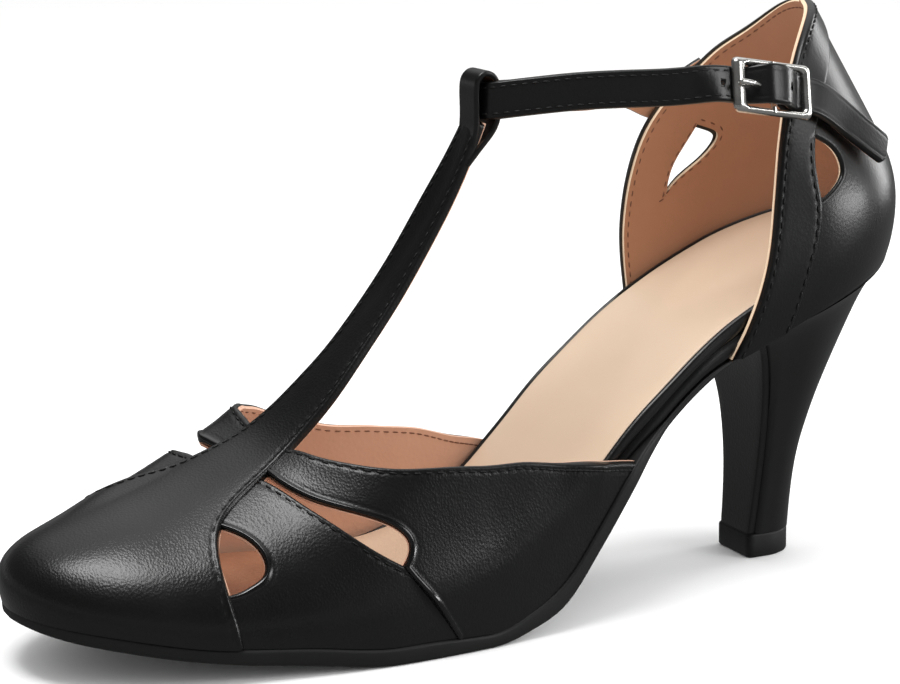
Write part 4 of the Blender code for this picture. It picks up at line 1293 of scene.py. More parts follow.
    def lining(self) -> Panel:
        """Lining of the whole front, strap included.

        Returns:
            The panel, with a teardrop and a slit cut out on each side.
        """
        toplines = []
        straps = []
        holes = []
        for pattern in (OUTER, INNER):
            side = self.sides[pattern.sign]
            line = {name: self.crest.flat(side.place(points)) for name, points in self.lines(pattern).items()}
            edge = self.edge(pattern)
            inset = offset_line(edge, -pattern.sign * self.lining_inset)
            straps.append(inset[edge[:, 0] > line["topline"][:, 0].min() + self.strap_from])
            toplines.append(line["topline"][TRIM:])
            holes.append(clean_loop(line["tear_front"], line["tear"][TRIM:-TRIM]))
            slit = line["wedge_top"][SLIT_TRIM:-SLIT_TRIM]
            holes.append(clean_loop(line["wing_front"][SLIT_TRIM:], slit[::-1]))
        toe = self.round_toe(OUTER.topline[-1][0], INNER.topline[-1][0])
        outline = clean_loop(toplines[0], toe, toplines[1][::-1], straps[1], straps[0][::-1])
        return Panel("vamp_lining", self.crest, outline, [], -WALL, LINING_FACE, holes, self.lining_spacing)


@dataclass
class Quarter:
    """Back of the upper: a collar band all round the opening, a back panel under it and the lining."""

    band_height: float = 0.7
    sewn_to: Pair = (-40.5, 43.5)
    back_height: float = 0.0
    lining_from: Pair = (-6.0, 14.0)
    lining_reach: Pair = (0.12, -0.5)
    hole_rims: Pair = (0.45, 0.7)
    hole_margin: float = 1.0
    stitch_margin: float = 1.6
    lining_spacing: float = 2.0
    line_step: float = 0.65
    cut_step: float = 0.52
    surface: Back = field(default_factory=Back)
    edge_rows: Rows = (
        (-69.0, 0.0), (-65.7, 12.6), (-59.9, 25.6), (-54.2, 34.1), (-48.1, 42.5), (-41.0, 50.3),
        (-33.0, 56.2), (-24.0, 59.8), (-12.0, 61.6), (0.0, 61.9), (12.0, 60.6), (25.3, 56.8), (33.8, 54.6),
        (41.5, 51.4), (50.0, 48.0), (58.0, 42.5), (62.9, 36.9), (67.6, 29.5), (70.5, 22.5), (70.8, 12.0),
        (68.5, 0.0))
    seam_rows: Rows = (
        (-54.3, 0.0), (-52.8, 11.1), (-49.1, 20.6), (-46.3, 27.0), (-44.7, 31.9), (-43.1, 35.6),
        (-40.2, 39.8), (-36.0, 43.8), (-31.0, 47.0), (-18.2, 52.7), (-8.0, 56.6), (0.0, 57.6),
        (8.0, 56.4), (18.0, 52.8), (31.0, 47.0), (39.0, 42.6), (44.1, 38.6), (47.8, 35.8), (52.4, 32.3),
        (55.9, 27.2), (58.0, 20.0), (58.5, 10.0), (57.5, 0.0))
    cut_outer: Rows = ((-46.9, 27.6), (-44.4, 28.0), (-41.7, 28.8), (-38.0, 31.0), (-37.2, 35.1),
                       (-39.0, 38.4), (-40.8, 40.4))
    cut_inner: Rows = ((44.8, 38.8), (42.6, 36.9), (40.9, 34.8), (43.6, 31.9), (48.5, 30.1), (53.1, 28.8),
                       (56.8, 26.8))

    def __post_init__(self) -> None:
        """Draws the cut lines."""
        self.edge = smooth_path(np.array(self.edge_rows), self.line_step)
        self.seam = smooth_path(np.array(self.seam_rows), self.line_step)
        self.cuts = [smooth_path(np.array(rows), self.cut_step) for rows in (self.cut_outer, self.cut_inner)]

    def collar_band(self) -> Panel:
        """Band round the opening, from seat to seat over the top of the back.

        Returns:
            The panel, its seam stitched up to the cut-outs and folded from there.
        """
        outline = clean_loop(self.edge, self.seam[::-1])
        out, inner = (int(np.argmin(np.abs(self.seam[:, 0] - place))) for place in self.sewn_to)
        borders = [Border(self.edge, Edge.STITCHED), Border(self.seam[:out], Edge.STITCHED),
                   Border(self.seam[out:inner], Edge.FOLDED), Border(self.seam[inner:], Edge.STITCHED)]
        return Panel("collar_band", self.surface, outline, borders, LINING_FACE, self.band_height)

    def back_panel(self) -> Panel:
        """Back panel, tucked under the band, with a folded edge at each cut-out.

        Returns:
            The panel.
        """
        tucked = offset_line(self.seam, UNDER)
        out, inner = self.cuts
        outline = clean_loop(cut_line(tucked, tucked[0], out[0]), out, cut_line(tucked, out[-1], inner[0]),
                             inner, cut_line(tucked, inner[-1], tucked[-1]))
        borders = [Border(cut, Edge.FOLDED) for cut in self.cuts]
        return Panel("back_panel", self.surface, outline, borders, LINING_FACE, self.back_height)

    def lining_hole(self, cut: np.ndarray, rim: float) -> np.ndarray:
        """A cut-out's outline, widened all round.

        Args:
            cut: the cut-out's edge in the back panel.
            rim: how much wider it is.

        Returns:
            The loop on the flat pattern.
        """
        loop = np.vstack([cut[1:-1], cut_line(self.seam, cut[-1], cut[0])[1:-1]])
        middle = loop.mean(axis=0)
        size = np.linalg.norm(loop - middle, axis=1).mean()
        return clean_loop(middle + (loop - middle) * (1 + rim / size))

    def lining_stitches(self) -> list[StitchRow]:
        """Stitch rows on the lining.

        Returns:
            Rows along the inner front edge and round the inner cut-out.
        """
        edge = offset_line(self.edge, -self.stitch_margin)
        edge = edge[self.edge[:, 0] > self.lining_from[0]]
        hole = self.lining_hole(self.cuts[1], self.hole_rims[1] + self.hole_margin)
        return [lining_row(self.surface, line) for line in (edge, closed(hole))]

    def lining(self) -> Panel:
        """Lining of the whole back.

        Returns:
            The panel, whose cut edge shows past the leather on the outer side and not on the inner.
        """
        holes = [self.lining_hole(cut, rim) for cut, rim in zip(self.cuts, self.hole_rims)]
        reach = np.interp(self.edge[:, 0], self.lining_from, self.lining_reach)
        outline = clean_loop(offset_line(self.edge, reach))
        return Panel("quarter_lining", self.surface, outline, [], -WALL, LINING_FACE, holes,
                     self.lining_spacing)


# Bottom: sole, insole cover, sock, heel
WAIST = Curves(("along", "outer", "inner", "flare"), (
    (100, 34.4, 29.0, 0.0), (112, 32.6, 26.2, 0.1), (120, 31.4, 24.9, 0.5), (135, 29.2, 23.9, 1.4),
    (143, 28.4, 24.4, 1.6), (152, 27.6, 25.0, 1.6), (160, 26.8, 25.4, 1.6), (168, 26.0, 25.6, 1.6),
    (176, 25.9, 25.8, 1.6), (184, 26.0, 26.0, 1.6), (191, 26.1, 26.1, 1.6)), blend=6.0)
LEAST_HALF = 0.3
SOFT_OF_DEPTH = 0.42
SOFT_OF_HALF = 0.4
EDGE_TURNS = 5


def stations(start: float, end: float, count: int, round_end: bool = True) -> np.ndarray:
    """Places along the foot, closer together at the rounded ends.

    Args:
        start: first place.
        end: last place.
        count: how many.
        round_end: whether the last end is round too.

    Returns:
        The places.
    """
    t = np.linspace(0, 1, count)
    t = (1 - np.cos(math.pi * t)) / 2 if round_end else 1 - np.cos(math.pi / 2 * t)
    return start + (end - start) * t


@dataclass
class Bottom:
    """Outsole, insole with its covered edge, and the sock."""

    sole_end: float = 171.6
    sole_lead: float = 0.3
    sole_sink: float = 0.05
    sole_soft: float = 0.9
    sole_tip: float = 0.5
    sole_count: int = 150
    proud: Curves = field(default_factory=lambda: Curves(("along", "outer", "inner", "rise"), (
        (0, 0.5, 0.5, 0.0), (100, 0.6, 0.6, 0.0), (112, 1.0, 0.9, 1.4), (122, 1.2, 1.0, 3.0),
        (130, 1.2, 0.8, 3.3), (136, 1.2, -1.0, 3.4), (141, 0.9, -2.8, 3.0), (147, -1.4, -3.2, 1.2),
        (153, -3.2, -3.2, 0.0), (176, -3.2, -3.2, 0.0))))
    inset: float = 2.4
    toe_fade: float = 30.0
    ball: Pair = (92.0, 108.0)
    seat_centre: float = 191.0
    back: float = 223.2
    bead: Rows = (
        (-2.8, 0.0), (-1.95, 0.3), (-1.8, 1.0), (-1.4, 1.5), (-0.9, 1.5), (-0.4, 1.1), (-0.1, 0.3),
        (0.0, -0.8), (-0.1, -1.7), (-0.4, -2.3), (-0.8, -2.75), (-0.62, -3.1), (-0.3, -3.7), (-0.1, -4.5),
        (-0.15, -5.4), (-0.5, -6.4))
    bead_room: Pair = (6.0, 7.0)
    skirt: Pair = (1.0, 0.4)
    insole_front: float = 3.0
    insole_count: int = 170
    sock_inset: float = 1.9
    sock_thickness: float = 1.3
    sock_front: float = 84.0
    sock_soft: float = 0.6
    sock_dish: float = 0.35
    sock_count: int = 110
    cover_front: float = 4.6
    cover_under: float = 4.0
    cover_drop: float = 0.3
    across: int = 12

    def top_edge(self, along: float, inset: float) -> tuple[float, float]:
        """Outer and inner half widths of the insole's top edge.

        Args:
            along: place along the foot.
            inset: how far inside the edge.

        Returns:
            Outer and inner half widths.
        """
        sides = []
        first, last = self.ball
        blend = min(max((along - first) / (last - first), 0.0), 1.0)
        blend = blend * blend * (3 - 2 * blend)
        beyond = max(along - self.seat_centre, 0.0) / (self.back - self.seat_centre - inset)
        for name in ("outer", "inner"):
            from_tip = max(along - TOE_TIP - self.inset - inset, 0.0)
            taper = (self.inset + inset) * min(from_tip / self.toe_fade, 1.0)
            front = max(float(LAST.at(name, from_tip)) - taper, LEAST_HALF)
            rear = (float(WAIST.at(name, along)) - inset) * math.sqrt(max(1 - beyond ** 2, 0.0))
            sides.append(max(front * (1 - blend) + rear * blend, LEAST_HALF))
        return sides[0], sides[1]

    def outsole(self) -> bpy.types.Object:
        """Sole from the toe to the heel breast, its edge rounded.

        Returns:
            The object.
        """
        rings = []
        for along in stations(TOE_TIP - self.sole_lead, self.sole_end, self.sole_count, False):
            outer, inner = (self._sole_half(name, along) for name in ("outer", "inner"))
            low = float(LEVELS.at("floor", along))
            high = float(feather(along) + self.proud.at("rise", along)) - self.sole_sink
            soft = min(self.sole_soft, (high - low) * SOFT_OF_DEPTH, max(outer, self.sole_tip) * SOFT_OF_HALF)
            rings.append(self._edge_ring(along, outer, inner, low, high, soft))
        return loft("outsole", rings, [RUBBER])

    def _sole_half(self, name: str, along: float) -> float:
        """Half width of the sole on its outer or inner side."""
        proud = float(self.proud.at(name, along))
        return float(LAST.at(name, max(along - TOE_TIP + proud, 0.0))) + proud

    def _edge_ring(self, along: float, outer: float, inner: float, low: float, high: float, soft: float,
                   dish: float = 0.0) -> list[tuple[float, float, float]]:
        """Section across the foot with rounded edges.

        Args:
            along: place along the foot.
            outer: half width on the outer side.
            inner: half width on the inner side.
            low: lower level.
            high: upper level.
            soft: radius of the edges.
            dish: how deep the middle of the upper face lies.

        Returns:
            The ring's points.
        """
        turns = quarter_turn(EDGE_TURNS)
        bow, lie = soft * np.sin(turns), soft * np.cos(turns)
        left, right = soft - outer, inner - soft
        width = np.linspace(left, right, self.across)
        sag = dish * (1 - np.linspace(-1, 1, self.across) ** 2)
        parts = ((width[:-1], np.full(self.across - 1, low)), (right + bow, low + soft - lie),
                 (right + lie, high - soft + bow), (width[-2:0:-1], high - sag[-2:0:-1]),
                 (left - bow, high - soft + lie), ((left - lie)[:-1], (low + soft - bow)[:-1]))
        return [(along, y, z) for across, level in parts for y, z in zip(across, level)]

    def insole(self) -> bpy.types.Object:
        """Insole wrapped in leather: a bead at the top edge, a crease and a full band under it.

        Returns:
            The object.
        """
        rings = []
        for along in stations(TOE_TIP + self.insole_front, self.back, self.insole_count):
            outer, inner = self.top_edge(along, 0.0)
            flare = float(WAIST.at("flare", along))
            low, high = float(feather(along)), float(LEVELS.at("sock", along)) - self.sock_thickness
            narrow = min(1.0, min(outer, inner) / self.bead_room[0])
            squeeze = min(1.0, (high - low) / self.bead_room[1])
            rim = [(o * narrow, h * squeeze) for o, h in self.bead]
            rim += [(-flare * narrow, low - high + self.skirt[1]),
                    (-(flare + self.skirt[0]) * narrow, low - high)]
            ring = [(along, inner + o, high + h) for o, h in rim]
            ring += [(along, -outer - o, high + h) for o, h in rim[::-1]]
            rings.append(ring)
        return loft("insole_cover", rings, [SMOOTH_LEATHER])

    def sock(self, name: str, start: float, end: float, drop: float, finish: Finish) -> bpy.types.Object:
        """A stretch of the cover on the insole, slightly dished, with a rounded edge.

        Args:
            name: the piece's name.
            start: where it starts along the foot.
            end: where it ends.
            drop: how far it lies below the sock's level.
            finish: its material.

        Returns:
            The object.
        """
        rings = []
        for along in stations(start, end, self.sock_count):
            outer, inner = self.top_edge(along, self.sock_inset)
            level = float(LEVELS.at("sock", along))
            soft = min(self.sock_soft, min(outer, inner) * SOFT_OF_HALF)
            rings.append(self._edge_ring(along, outer, inner, level - self.sock_thickness, level - drop, soft,
                                         self.sock_dish))
        return loft(name, rings, [finish])

    def rear_sock(self) -> bpy.types.Object:
        """The sock from the ball of the foot to the back."""
        return self.sock("sock", self.sock_front, self.back - self.sock_inset, 0.0, SOCK)

    def front_cover(self) -> bpy.types.Object:
        """A stretch in the lining's tan in front of the sock, darker than the sock, tucked under it."""
        return self.sock("insole_front", TOE_TIP + self.cover_front, self.sock_front + self.cover_under,
                         self.cover_drop, LINING)


@dataclass
class Heel:
    """Covered heel block, the flap over its breast, and the wearing tip."""

    sections: Curves = field(default_factory=lambda: Curves(("level", "front", "back", "half", "seat"), (
        (6.3, 186.6, 200.6, 7.6, 0.0), (14, 187.4, 201.1, 8.2, 0.0), (22, 188.0, 202.0, 9.0, 0.0),
        (30, 188.2, 203.9, 10.1, 0.0), (38, 187.8, 207.4, 11.8, 0.05), (45, 186.2, 211.4, 14.4, 0.15),
        (51, 183.2, 215.4, 18.2, 0.35), (57, 178.6, 219.8, 22.8, 0.7), (63, 172.2, 224.8, 26.9, 1.0)),
        blend=6.0))
    levels: Pair = (6.1, 63.0)
    level_count: int = 70
    flap: float = 1.5
    flap_inset: float = 0.9
    flap_under: float = 0.15
    flap_soft: float = 0.55
    flap_count: int = 10
    round_from: float = 0.36
    round_count: int = 40
    corner: float = 1.3
    corner_share: float = 0.3
    corner_count: int = 7
    tuck: float = 0.7
    lift_plan: Place = (186.2, 200.6, 7.6)
    lift_rows: Rows = ((0.0, 0.5), (0.15, 0.2), (0.5, 0.0), (3.0, 0.0), (5.4, 0.0), (5.8, 0.12), (6.05, 0.4))
    count: int = 64

    def plan(self, front: float, back: float, half: float) -> np.ndarray:
        """Plan section: a straight breast with softened corners, straight sides and a round back.

        Args:
            front: place of the breast along the foot.
            back: place of the back.
            half: half width.

        Returns:
            The section's points.
        """
        centre = front + self.round_from * (back - front)
        soft = min(self.corner, half * self.corner_share)
        corner, bow = quarter_turn(self.corner_count), quarter_turn(self.round_count)
        along = np.concatenate([[front], front + soft - soft * np.cos(corner),
                                centre + (back - centre) * np.sin(bow)])
        across = np.concatenate([[0.0], half - soft + soft * np.sin(corner), half * np.cos(bow)])
        line = np.column_stack([along, across])
        reach = lengths(line)
        side = at_lengths(np.linspace(0, reach[-1], self.count // 2 + 1), reach, line)
        return np.vstack([side, side[-2:0:-1] * np.array([1.0, -1.0])])

    def raise_to(self, level: float, plan: np.ndarray) -> np.ndarray:
        """Lifts a plan section to its level, the upper ones to the seat's slope inside the quarter."""
        seat = float(self.sections.at("seat", level))
        return np.column_stack([plan, (1 - seat) * level + seat * (feather(plan[:, 0]) + self.tuck)])

    def block(self) -> bpy.types.Object:
        """The covered block.

        Returns:
            The object.
        """
        rings = []
        for level in np.linspace(*self.levels, self.level_count):
            front, back, half = (float(self.sections.at(name, level)) for name in ("front", "back", "half"))
            rings.append(self.raise_to(level, self.plan(front + self.flap, back, half)))
        return loft("heel_block", rings, [HEEL_LEATHER])

    def breast_flap(self) -> bpy.types.Object:
        """The sole's leather carried down the breast, with rounded edges.

        Returns:
            The object.
        """
        soft = self.flap_soft
        rings = []
        for level in np.linspace(*self.levels, self.level_count):
            front = float(self.sections.at("front", level))
            half = float(self.sections.at("half", level)) - self.flap_inset
            side = [(front + self.flap + self.flap_under, -half)]
            side += [(front + soft - soft * math.sin(a), soft - half - soft * math.cos(a))
                     for a in quarter_turn(EDGE_TURNS)]
            face = [(front, y) for y in np.linspace(soft - half, half - soft, self.flap_count)[1:-1]]
            rings.append(self.raise_to(level, np.array(side + face + [(x, -y) for x, y in side[::-1]])))
        return loft("breast_flap", rings, [LEATHER])

    def top_lift(self) -> bpy.types.Object:
        """Wearing tip with softened edges.

        Returns:
            The object.
        """
        front, back, half = self.lift_plan
        rings = []
        for level, inset in self.lift_rows:
            plan = self.plan(front + inset, back - inset, half - inset)
            rings.append(np.column_stack([plan, np.full(len(plan), level)]))
        return loft("top_lift", rings, [RUBBER])


# Straps and buckle
STRAP_ROWS = (0.0, 0.1, 0.25, 0.45, 0.7, 1.0, 1.2, 1.4, 1.6, 1.9, 2.4, 3.2)
STRAP_BACK = ((0.1, 0.25), (0.3, 0.0))
STRAP_FOLD = 0.6
STRAP_RISE = (-0.1, 0.6)
STRAP_MARGIN = 1.35
STRAP_GROOVE = 0.3
ROD_SIDES = 16
BAR_POINTS = 12
PUNCH_POINTS = 6
BOX_CORNER = 9


def ribbon(name: str, path: np.ndarray, facing: np.ndarray, section: np.ndarray, finishes: list[Finish],
           marks: list[int] | None = None, widths: np.ndarray | None = None) -> bpy.types.Object:
    """A strap swept along a path.

    Args:
        name: the piece's name.
        path: points of its middle.
        facing: direction of its outer face at each point.
        section: its cross section as (across, out) rows.
        finishes: its materials.
        marks: material number of each strip of the section.
        widths: scale of the width at each point.

    Returns:
        The object.
    """
    tangent = unit(np.gradient(path, axis=0))
    across = unit(np.cross(tangent, facing))
    out = np.cross(across, tangent)
    scale = np.ones(len(path)) if widths is None else widths
    rings = (path[:, None] + across[:, None] * (section[:, 0] * scale[:, None])[..., None]
             + out[:, None] * section[:, 1][None, :, None])
    return loft(name, rings, finishes, marks)


def strap_section(width: float, thickness: float, groove: float = 0.0) -> tuple[np.ndarray, list[int]]:
    """Cross section of a folded strap: rounded edges, a sunk stitch line near each, a flat lined back.

    Args:
        width: full width.
        thickness: full thickness.
        groove: depth of the stitch lines.

    Returns:
        The section's points and the material number of each strip.
    """
    side = []
    for distance in STRAP_ROWS:
        if distance < width / 2:
            rise = math.sqrt(1 - (1 - min(distance / STRAP_FOLD, 1.0)) ** 2)
            sunk = groove * math.exp(-((distance - STRAP_MARGIN) / STRAP_GROOVE) ** 2)
            side.append((distance - width / 2, thickness * (STRAP_RISE[0] + STRAP_RISE[1] * rise) - sunk))
    top = side + [(-a, o) for a, o in side[::-1]]
    edge = [(width / 2 - inset, lift - thickness / 2) for inset, lift in STRAP_BACK]
    back = edge + [(0.0, -thickness / 2)] + [(-a, o) for a, o in edge[::-1]]
    marks = [0] * len(top) + [1] * (len(back) - 1) + [0]
    return np.array(top + back), marks


class Plane(Surface):
    """A flat place in the buckle: u along it, v across."""

    def __init__(self, origin: np.ndarray, along: np.ndarray, across: np.ndarray) -> None:
        """Keeps its axes."""
        self.origin, self.along, self.across = origin, along, across

    def point(self, u: np.ndarray, v: np.ndarray) -> np.ndarray:
        """Points in millimetres."""
        return self.origin + np.asarray(u)[..., None] * self.along + np.asarray(v)[..., None] * self.across


def rounded_box(start: float, end: float, half: float, radius: float, step: float = 0.35) -> np.ndarray:
    """A closed rectangle with round corners, anticlockwise.

    Args:
        start: lowest place along.
        end: highest place along.
        half: half height.
        radius: corner radius.
        step: distance between points on the straight sides.

    Returns:
        The loop's points.
    """
    corners = []
    for turn, (x, y) in enumerate(((end - radius, half - radius), (start + radius, half - radius),
                                   (start + radius, radius - half), (end - radius, radius - half))):
        angles = quarter_turn(BOX_CORNER) + turn * math.pi / 2
        corners += list(zip(x + radius * np.cos(angles), y + radius * np.sin(angles)))
    loop = closed(np.array(corners))
    points = []
    for a, b in zip(loop[:-1], loop[1:]):
        parts = max(1, int(np.linalg.norm(b - a) / step))
        points += [a + (b - a) * i / parts for i in range(parts)]
    return np.array(points)


@dataclass
class Strapping:
    """Ankle strap, its loop on the T-strap, the buckle and the buckle's tab."""

    width: float = 8.6
    thickness: float = 1.8
    lie: float = 1.9
    weave: float = 1.95
    groove: float = 0.04
    end_reach: float = 1.4
    end_width: float = 0.78
    path_step: float = 0.5
    lean: float = 0.08
    centre: Place = (179.6, -27.4, 118.4)
    along_hint: Place = (0.985, 0.03, -0.175)
    out_hint: Place = (0.05, -0.95, 0.36)
    length: float = 21.4
    height: float = 13.0
    bar: float = 1.8
    back_bar: float = 2.4
    wide_bar: float = 3.4
    corners: Pair = (1.6, 0.8)
    faces: Pair = (-0.75, 0.8)
    frame_spacing: float = 0.5
    frame_rows: tuple[float, ...] = (0.06, 0.16, 0.3, 0.5, 0.75, 1.05, 1.4)
    middle_radius: float = 0.75
    middle_sink: float = 0.5
    prong_radius: float = 0.72
    prong_tip: float = 0.08
    prong_end: float = 0.03
    prong_step: float = 0.35
    inner_root: Rows = ((37.0, 48.8, 0.0), (43.0, 47.4, 0.0), (48.5, 46.2, 0.0))
    run: Rows = (
        (172.0, 25.6, 112.6), (160.0, 23.4, 113.4), (148.0, 19.2, 114.4), (135.0, 13.4, 115.1),
        (128.0, 10.4, 115.6), (122.4, 7.4, 116.2), (119.35, 4.4, 116.9), (118.55, 2.2, 117.0),
        (118.35, 0.0, 117.0), (118.55, -2.2, 117.0), (119.35, -4.4, 117.2), (122.4, -7.6, 117.8),
        (128.0, -11.4, 118.6), (135.0, -15.0, 119.3), (147.0, -20.2, 119.7), (158.0, -23.8, 119.9))
    weave_rows: Rows = (
        (-13.5, -1.0, 0.1), (-10.6, -1.0, 0.2), (-7.4, -1.0, 0.3), (-4.4, 0.0, 0.4), (-1.6, 1.0, 0.45),
        (0.0, 1.06, 0.45), (1.6, 1.0, 0.45), (4.8, 0.0, 0.3), (8.0, -1.0, 0.1), (11.0, -1.06, 0.0))
    free_end: Rows = ((-31.9, 40.0, 0.2), (-29.4, 34.8, 0.8), (-26.9, 29.8, 1.7))
    loop_rows: Rows = (
        (114.9, 107.0), (115.6, 109.5), (116.0, 112.5), (116.05, 117.0), (116.1, 120.0), (116.7, 122.2),
        (118.6, 123.4), (120.6, 122.4), (121.5, 119.5), (121.6, 115.0), (121.0, 112.0), (119.4, 109.4),
        (117.2, 107.0), (115.2, 104.8), (113.6, 103.0))
    loop_size: Pair = (8.8, 1.3)
    tab_root: Rows = ((-39.2, 47.9, 0.0), (-41.8, 48.6, 0.0))
    tab_places: Pair = (2.2, 0.0)
    tab_size: Pair = (7.0, 0.9)
    tab_lie: float = 1.45
    tab_drop: float = 1.5
    tab_step: float = 0.6
    prong_rows: Rows = (
        (-0.6, 0.0), (-1.75, 0.0), (-4.0, 0.5), (-6.0, 1.4), (-7.4, 1.8), (-9.6, 1.85), (-10.6, 1.85))
    stitch_pitch: float = 2.4
    stitch_sink: float = 0.06
    holes: Pair = (-12.9, 4.2)
    punch_radius: float = 0.6
    punch_reach: float = 6.0
    spread: float = 0.13
    spread_reach: float = 5.0

    def __post_init__(self) -> None:
        """Sets the buckle's axes."""
        self.along = unit(np.array(self.along_hint))
        out = np.array(self.out_hint)
        self.out = unit(out - self.along * np.dot(out, self.along))
        self.up = np.cross(self.out, self.along)
        self.middle = np.array(self.centre)
        self.back = Back()

    def on_quarter(self, rows: Rows, lie: float) -> list[np.ndarray]:
        """Places lifted off the quarter.

        Args:
            rows: places on the quarter's flat pattern, each with a further lift.
            lie: how far off they all lie.

        Returns:
            For each place its point and its normal, as a row of six.
        """
        u, v, off = np.array(rows).T
        normal = self.back.normal(u, v)
        return list(np.hstack([self.back.point(u, v) + normal * (lie + off)[:, None], normal]))

    def strap_path(self) -> np.ndarray:
        """Middle line of the strap.

        Returns:
            Its points with the direction of its face, as rows of six.
        """
        run = np.array(self.run)
        heading = np.gradient(run, axis=0)
        face = unit(np.column_stack([heading[:, 1], -heading[:, 0], np.zeros(len(run))]))
        face[:, 2] += self.lean
        rows = self.on_quarter(self.inner_root, self.lie)
        rows += list(np.hstack([run, face]))
        for place, side, rise in self.weave_rows:
            point = self.middle + self.along * place + self.out * side * self.weave + self.up * rise
            rows.append(np.concatenate([point, self.out]))
        rows += self.on_quarter(self.free_end, self.lie)
        return smooth_path(np.array(rows), self.path_step)

    def ankle_strap(self) -> bpy.types.Object:
        """The strap with its sunk stitch lines, lining and punched holes.

        Returns:
            The object.
        """
        path = self.strap_path()
        middle, facing = path[:, :3], path[:, 3:]
        section, marks = strap_section(self.width, self.thickness, self.groove)
        reach = lengths(middle)
        from_end = np.clip((reach[-1] - reach) / self.end_reach, 0, 1)
        widths = self.end_width + (1 - self.end_width) * np.sqrt(1 - (1 - from_end) ** 2)
        to_buckle = np.linalg.norm(middle - self.middle, axis=1)
        widths = widths + self.spread * np.exp(-(to_buckle / self.spread_reach) ** 2)
        strap = ribbon("ankle_strap", middle, facing, section, [SMOOTH_LEATHER, LINING], marks, widths)
        for place in self.holes:
            self.punch(strap, place)
        return strap

    def punch(self, strap: bpy.types.Object, place: float) -> None:
        """Cuts a round hole through the strap.

        Args:
            strap: the strap.
            place: where the hole is, along the buckle from its middle.
        """
        depth = np.linspace(-self.punch_reach, self.punch_reach, PUNCH_POINTS)
        line = self.middle + self.along * place + self.out * depth[:, None]
        tool = self.rod("punch", line, np.full(len(depth), self.punch_radius), self.up)
        cut = strap.modifiers.new("hole", "BOOLEAN")
        cut.object = tool
        cut.solver = "EXACT"
        graph = bpy.context.evaluated_depsgraph_get()
        mesh = bpy.data.meshes.new_from_object(strap.evaluated_get(graph), depsgraph=graph)
        strap.modifiers.clear()
        strap.data = mesh
        bpy.data.objects.remove(tool)

    def strap_stitches(self) -> list[StitchRow]:
        """Stitch rows along both edges of the strap, up to the buckle.

        Returns:
            The rows.
        """
        path = self.strap_path()
        middle, facing = path[:, :3], path[:, 3:]
        tangent = np.gradient(middle, axis=0)
        across = unit(np.cross(tangent, facing))
        out = unit(np.cross(across, tangent))
        reach = lengths(middle)
        buckle = reach[np.argmin(np.linalg.norm(middle - self.middle, axis=1))]
        where = np.arange(self.stitch_pitch, buckle - self.length / 2, self.stitch_pitch)
        edge = self.width / 2 - STRAP_MARGIN
        face = middle + out * (self.thickness / 2 - self.stitch_sink)
        normals = at_lengths(where, reach, out)
        return [(at_lengths(where, reach, face + across * side), normals) for side in (-edge, edge)]

    def loop(self) -> bpy.types.Object:
        """The T-strap's end, folded back over the ankle strap.

        Returns:
            The object.
        """
        line = smooth_path(np.array(self.loop_rows), self.path_step)
        path = np.column_stack([line[:, 0], np.zeros(len(line)), line[:, 1]])
        heading = np.gradient(path, axis=0)
        facing = np.column_stack([-heading[:, 2], np.zeros(len(line)), heading[:, 0]])
        section, _ = strap_section(*self.loop_size)
        return ribbon("t_strap_loop", path, facing, section, [SMOOTH_LEATHER])

    def tab(self) -> bpy.types.Object:
        """Short tab from the collar band to the buckle's middle bar.

        Returns:
            The object.
        """
        rows = self.on_quarter(self.tab_root, self.tab_lie)
        for place in self.tab_places:
            point = self.middle + self.along * place - self.out * self.tab_drop
            rows.append(np.concatenate([point, self.out]))
        path = smooth_path(np.array(rows), self.tab_step)
        section, _ = strap_section(*self.tab_size)
        return ribbon("buckle_tab", path[:, :3], path[:, 3:], section, [SMOOTH_LEATHER])

    def frame(self) -> bpy.types.Object:
        """Square frame with round bars and a wide front bar.

        Returns:
            The object.
        """
        flat = Plane(self.middle, self.along, self.up)
        start, end = -self.length / 2, self.length / 2
        half = self.height / 2
        outer = rounded_box(start, end, half, self.corners[0])
        window = rounded_box(start + self.wide_bar, end - self.back_bar, half - self.bar, self.corners[1])
        borders = [Border(closed(loop), Edge.POLISHED) for loop in (outer, window)]
        plate = Panel("buckle_frame", flat, outer, borders, *self.faces, [window], self.frame_spacing,
                      self.frame_rows)
        return plate.build([STEEL])

    def rod(self, name: str, points: np.ndarray, radii: np.ndarray, hint: np.ndarray) -> bpy.types.Object:
        """A round rod along a path, of varying radius.

        Args:
            name: the piece's name.
            points: its middle line.
            radii: radius at each point.
            hint: any direction across the path.

        Returns:
            The object.
        """
        tangent = unit(np.gradient(points, axis=0))
        side = unit(np.cross(tangent, hint))
        up = np.cross(side, tangent)
        turns = np.linspace(0, 2 * math.pi, ROD_SIDES, endpoint=False)
        rings = points[:, None] + radii[:, None, None] * (
            side[:, None] * np.cos(turns)[None, :, None] + up[:, None] * np.sin(turns)[None, :, None])
        return loft(name, rings, [STEEL])

    def middle_bar(self) -> bpy.types.Object:
        """The bar that the prong and the tab hang on.

        Returns:
            The object.
        """
        reach = self.height / 2 - self.middle_sink
        side = np.linspace(-reach, reach, BAR_POINTS)
        return self.rod("buckle_bar", self.middle + self.up * side[:, None],
                        np.full(len(side), self.middle_radius), self.out)

    def prong(self) -> bpy.types.Object:
        """Tongue from the middle bar to the wide bar, with a rounded tip.

        Returns:
            The object.
        """
        along, out = np.array(self.prong_rows).T[..., None]
        path = smooth_path(self.middle + self.along * along + self.out * out, self.prong_step)
        from_tip = np.clip(np.linspace(1, 0, len(path)) / self.prong_tip, self.prong_end, 1)
        radii = self.prong_radius * np.sqrt(1 - (1 - from_tip) ** 2)
        return self.rod("buckle_prong", path, radii, self.out)


# Stage
@dataclass(frozen=True)
class Lamp:
    """A soft box: its place, width and height in metres, and power in watts."""

    name: str
    place: Place
    size: Pair
    power: float


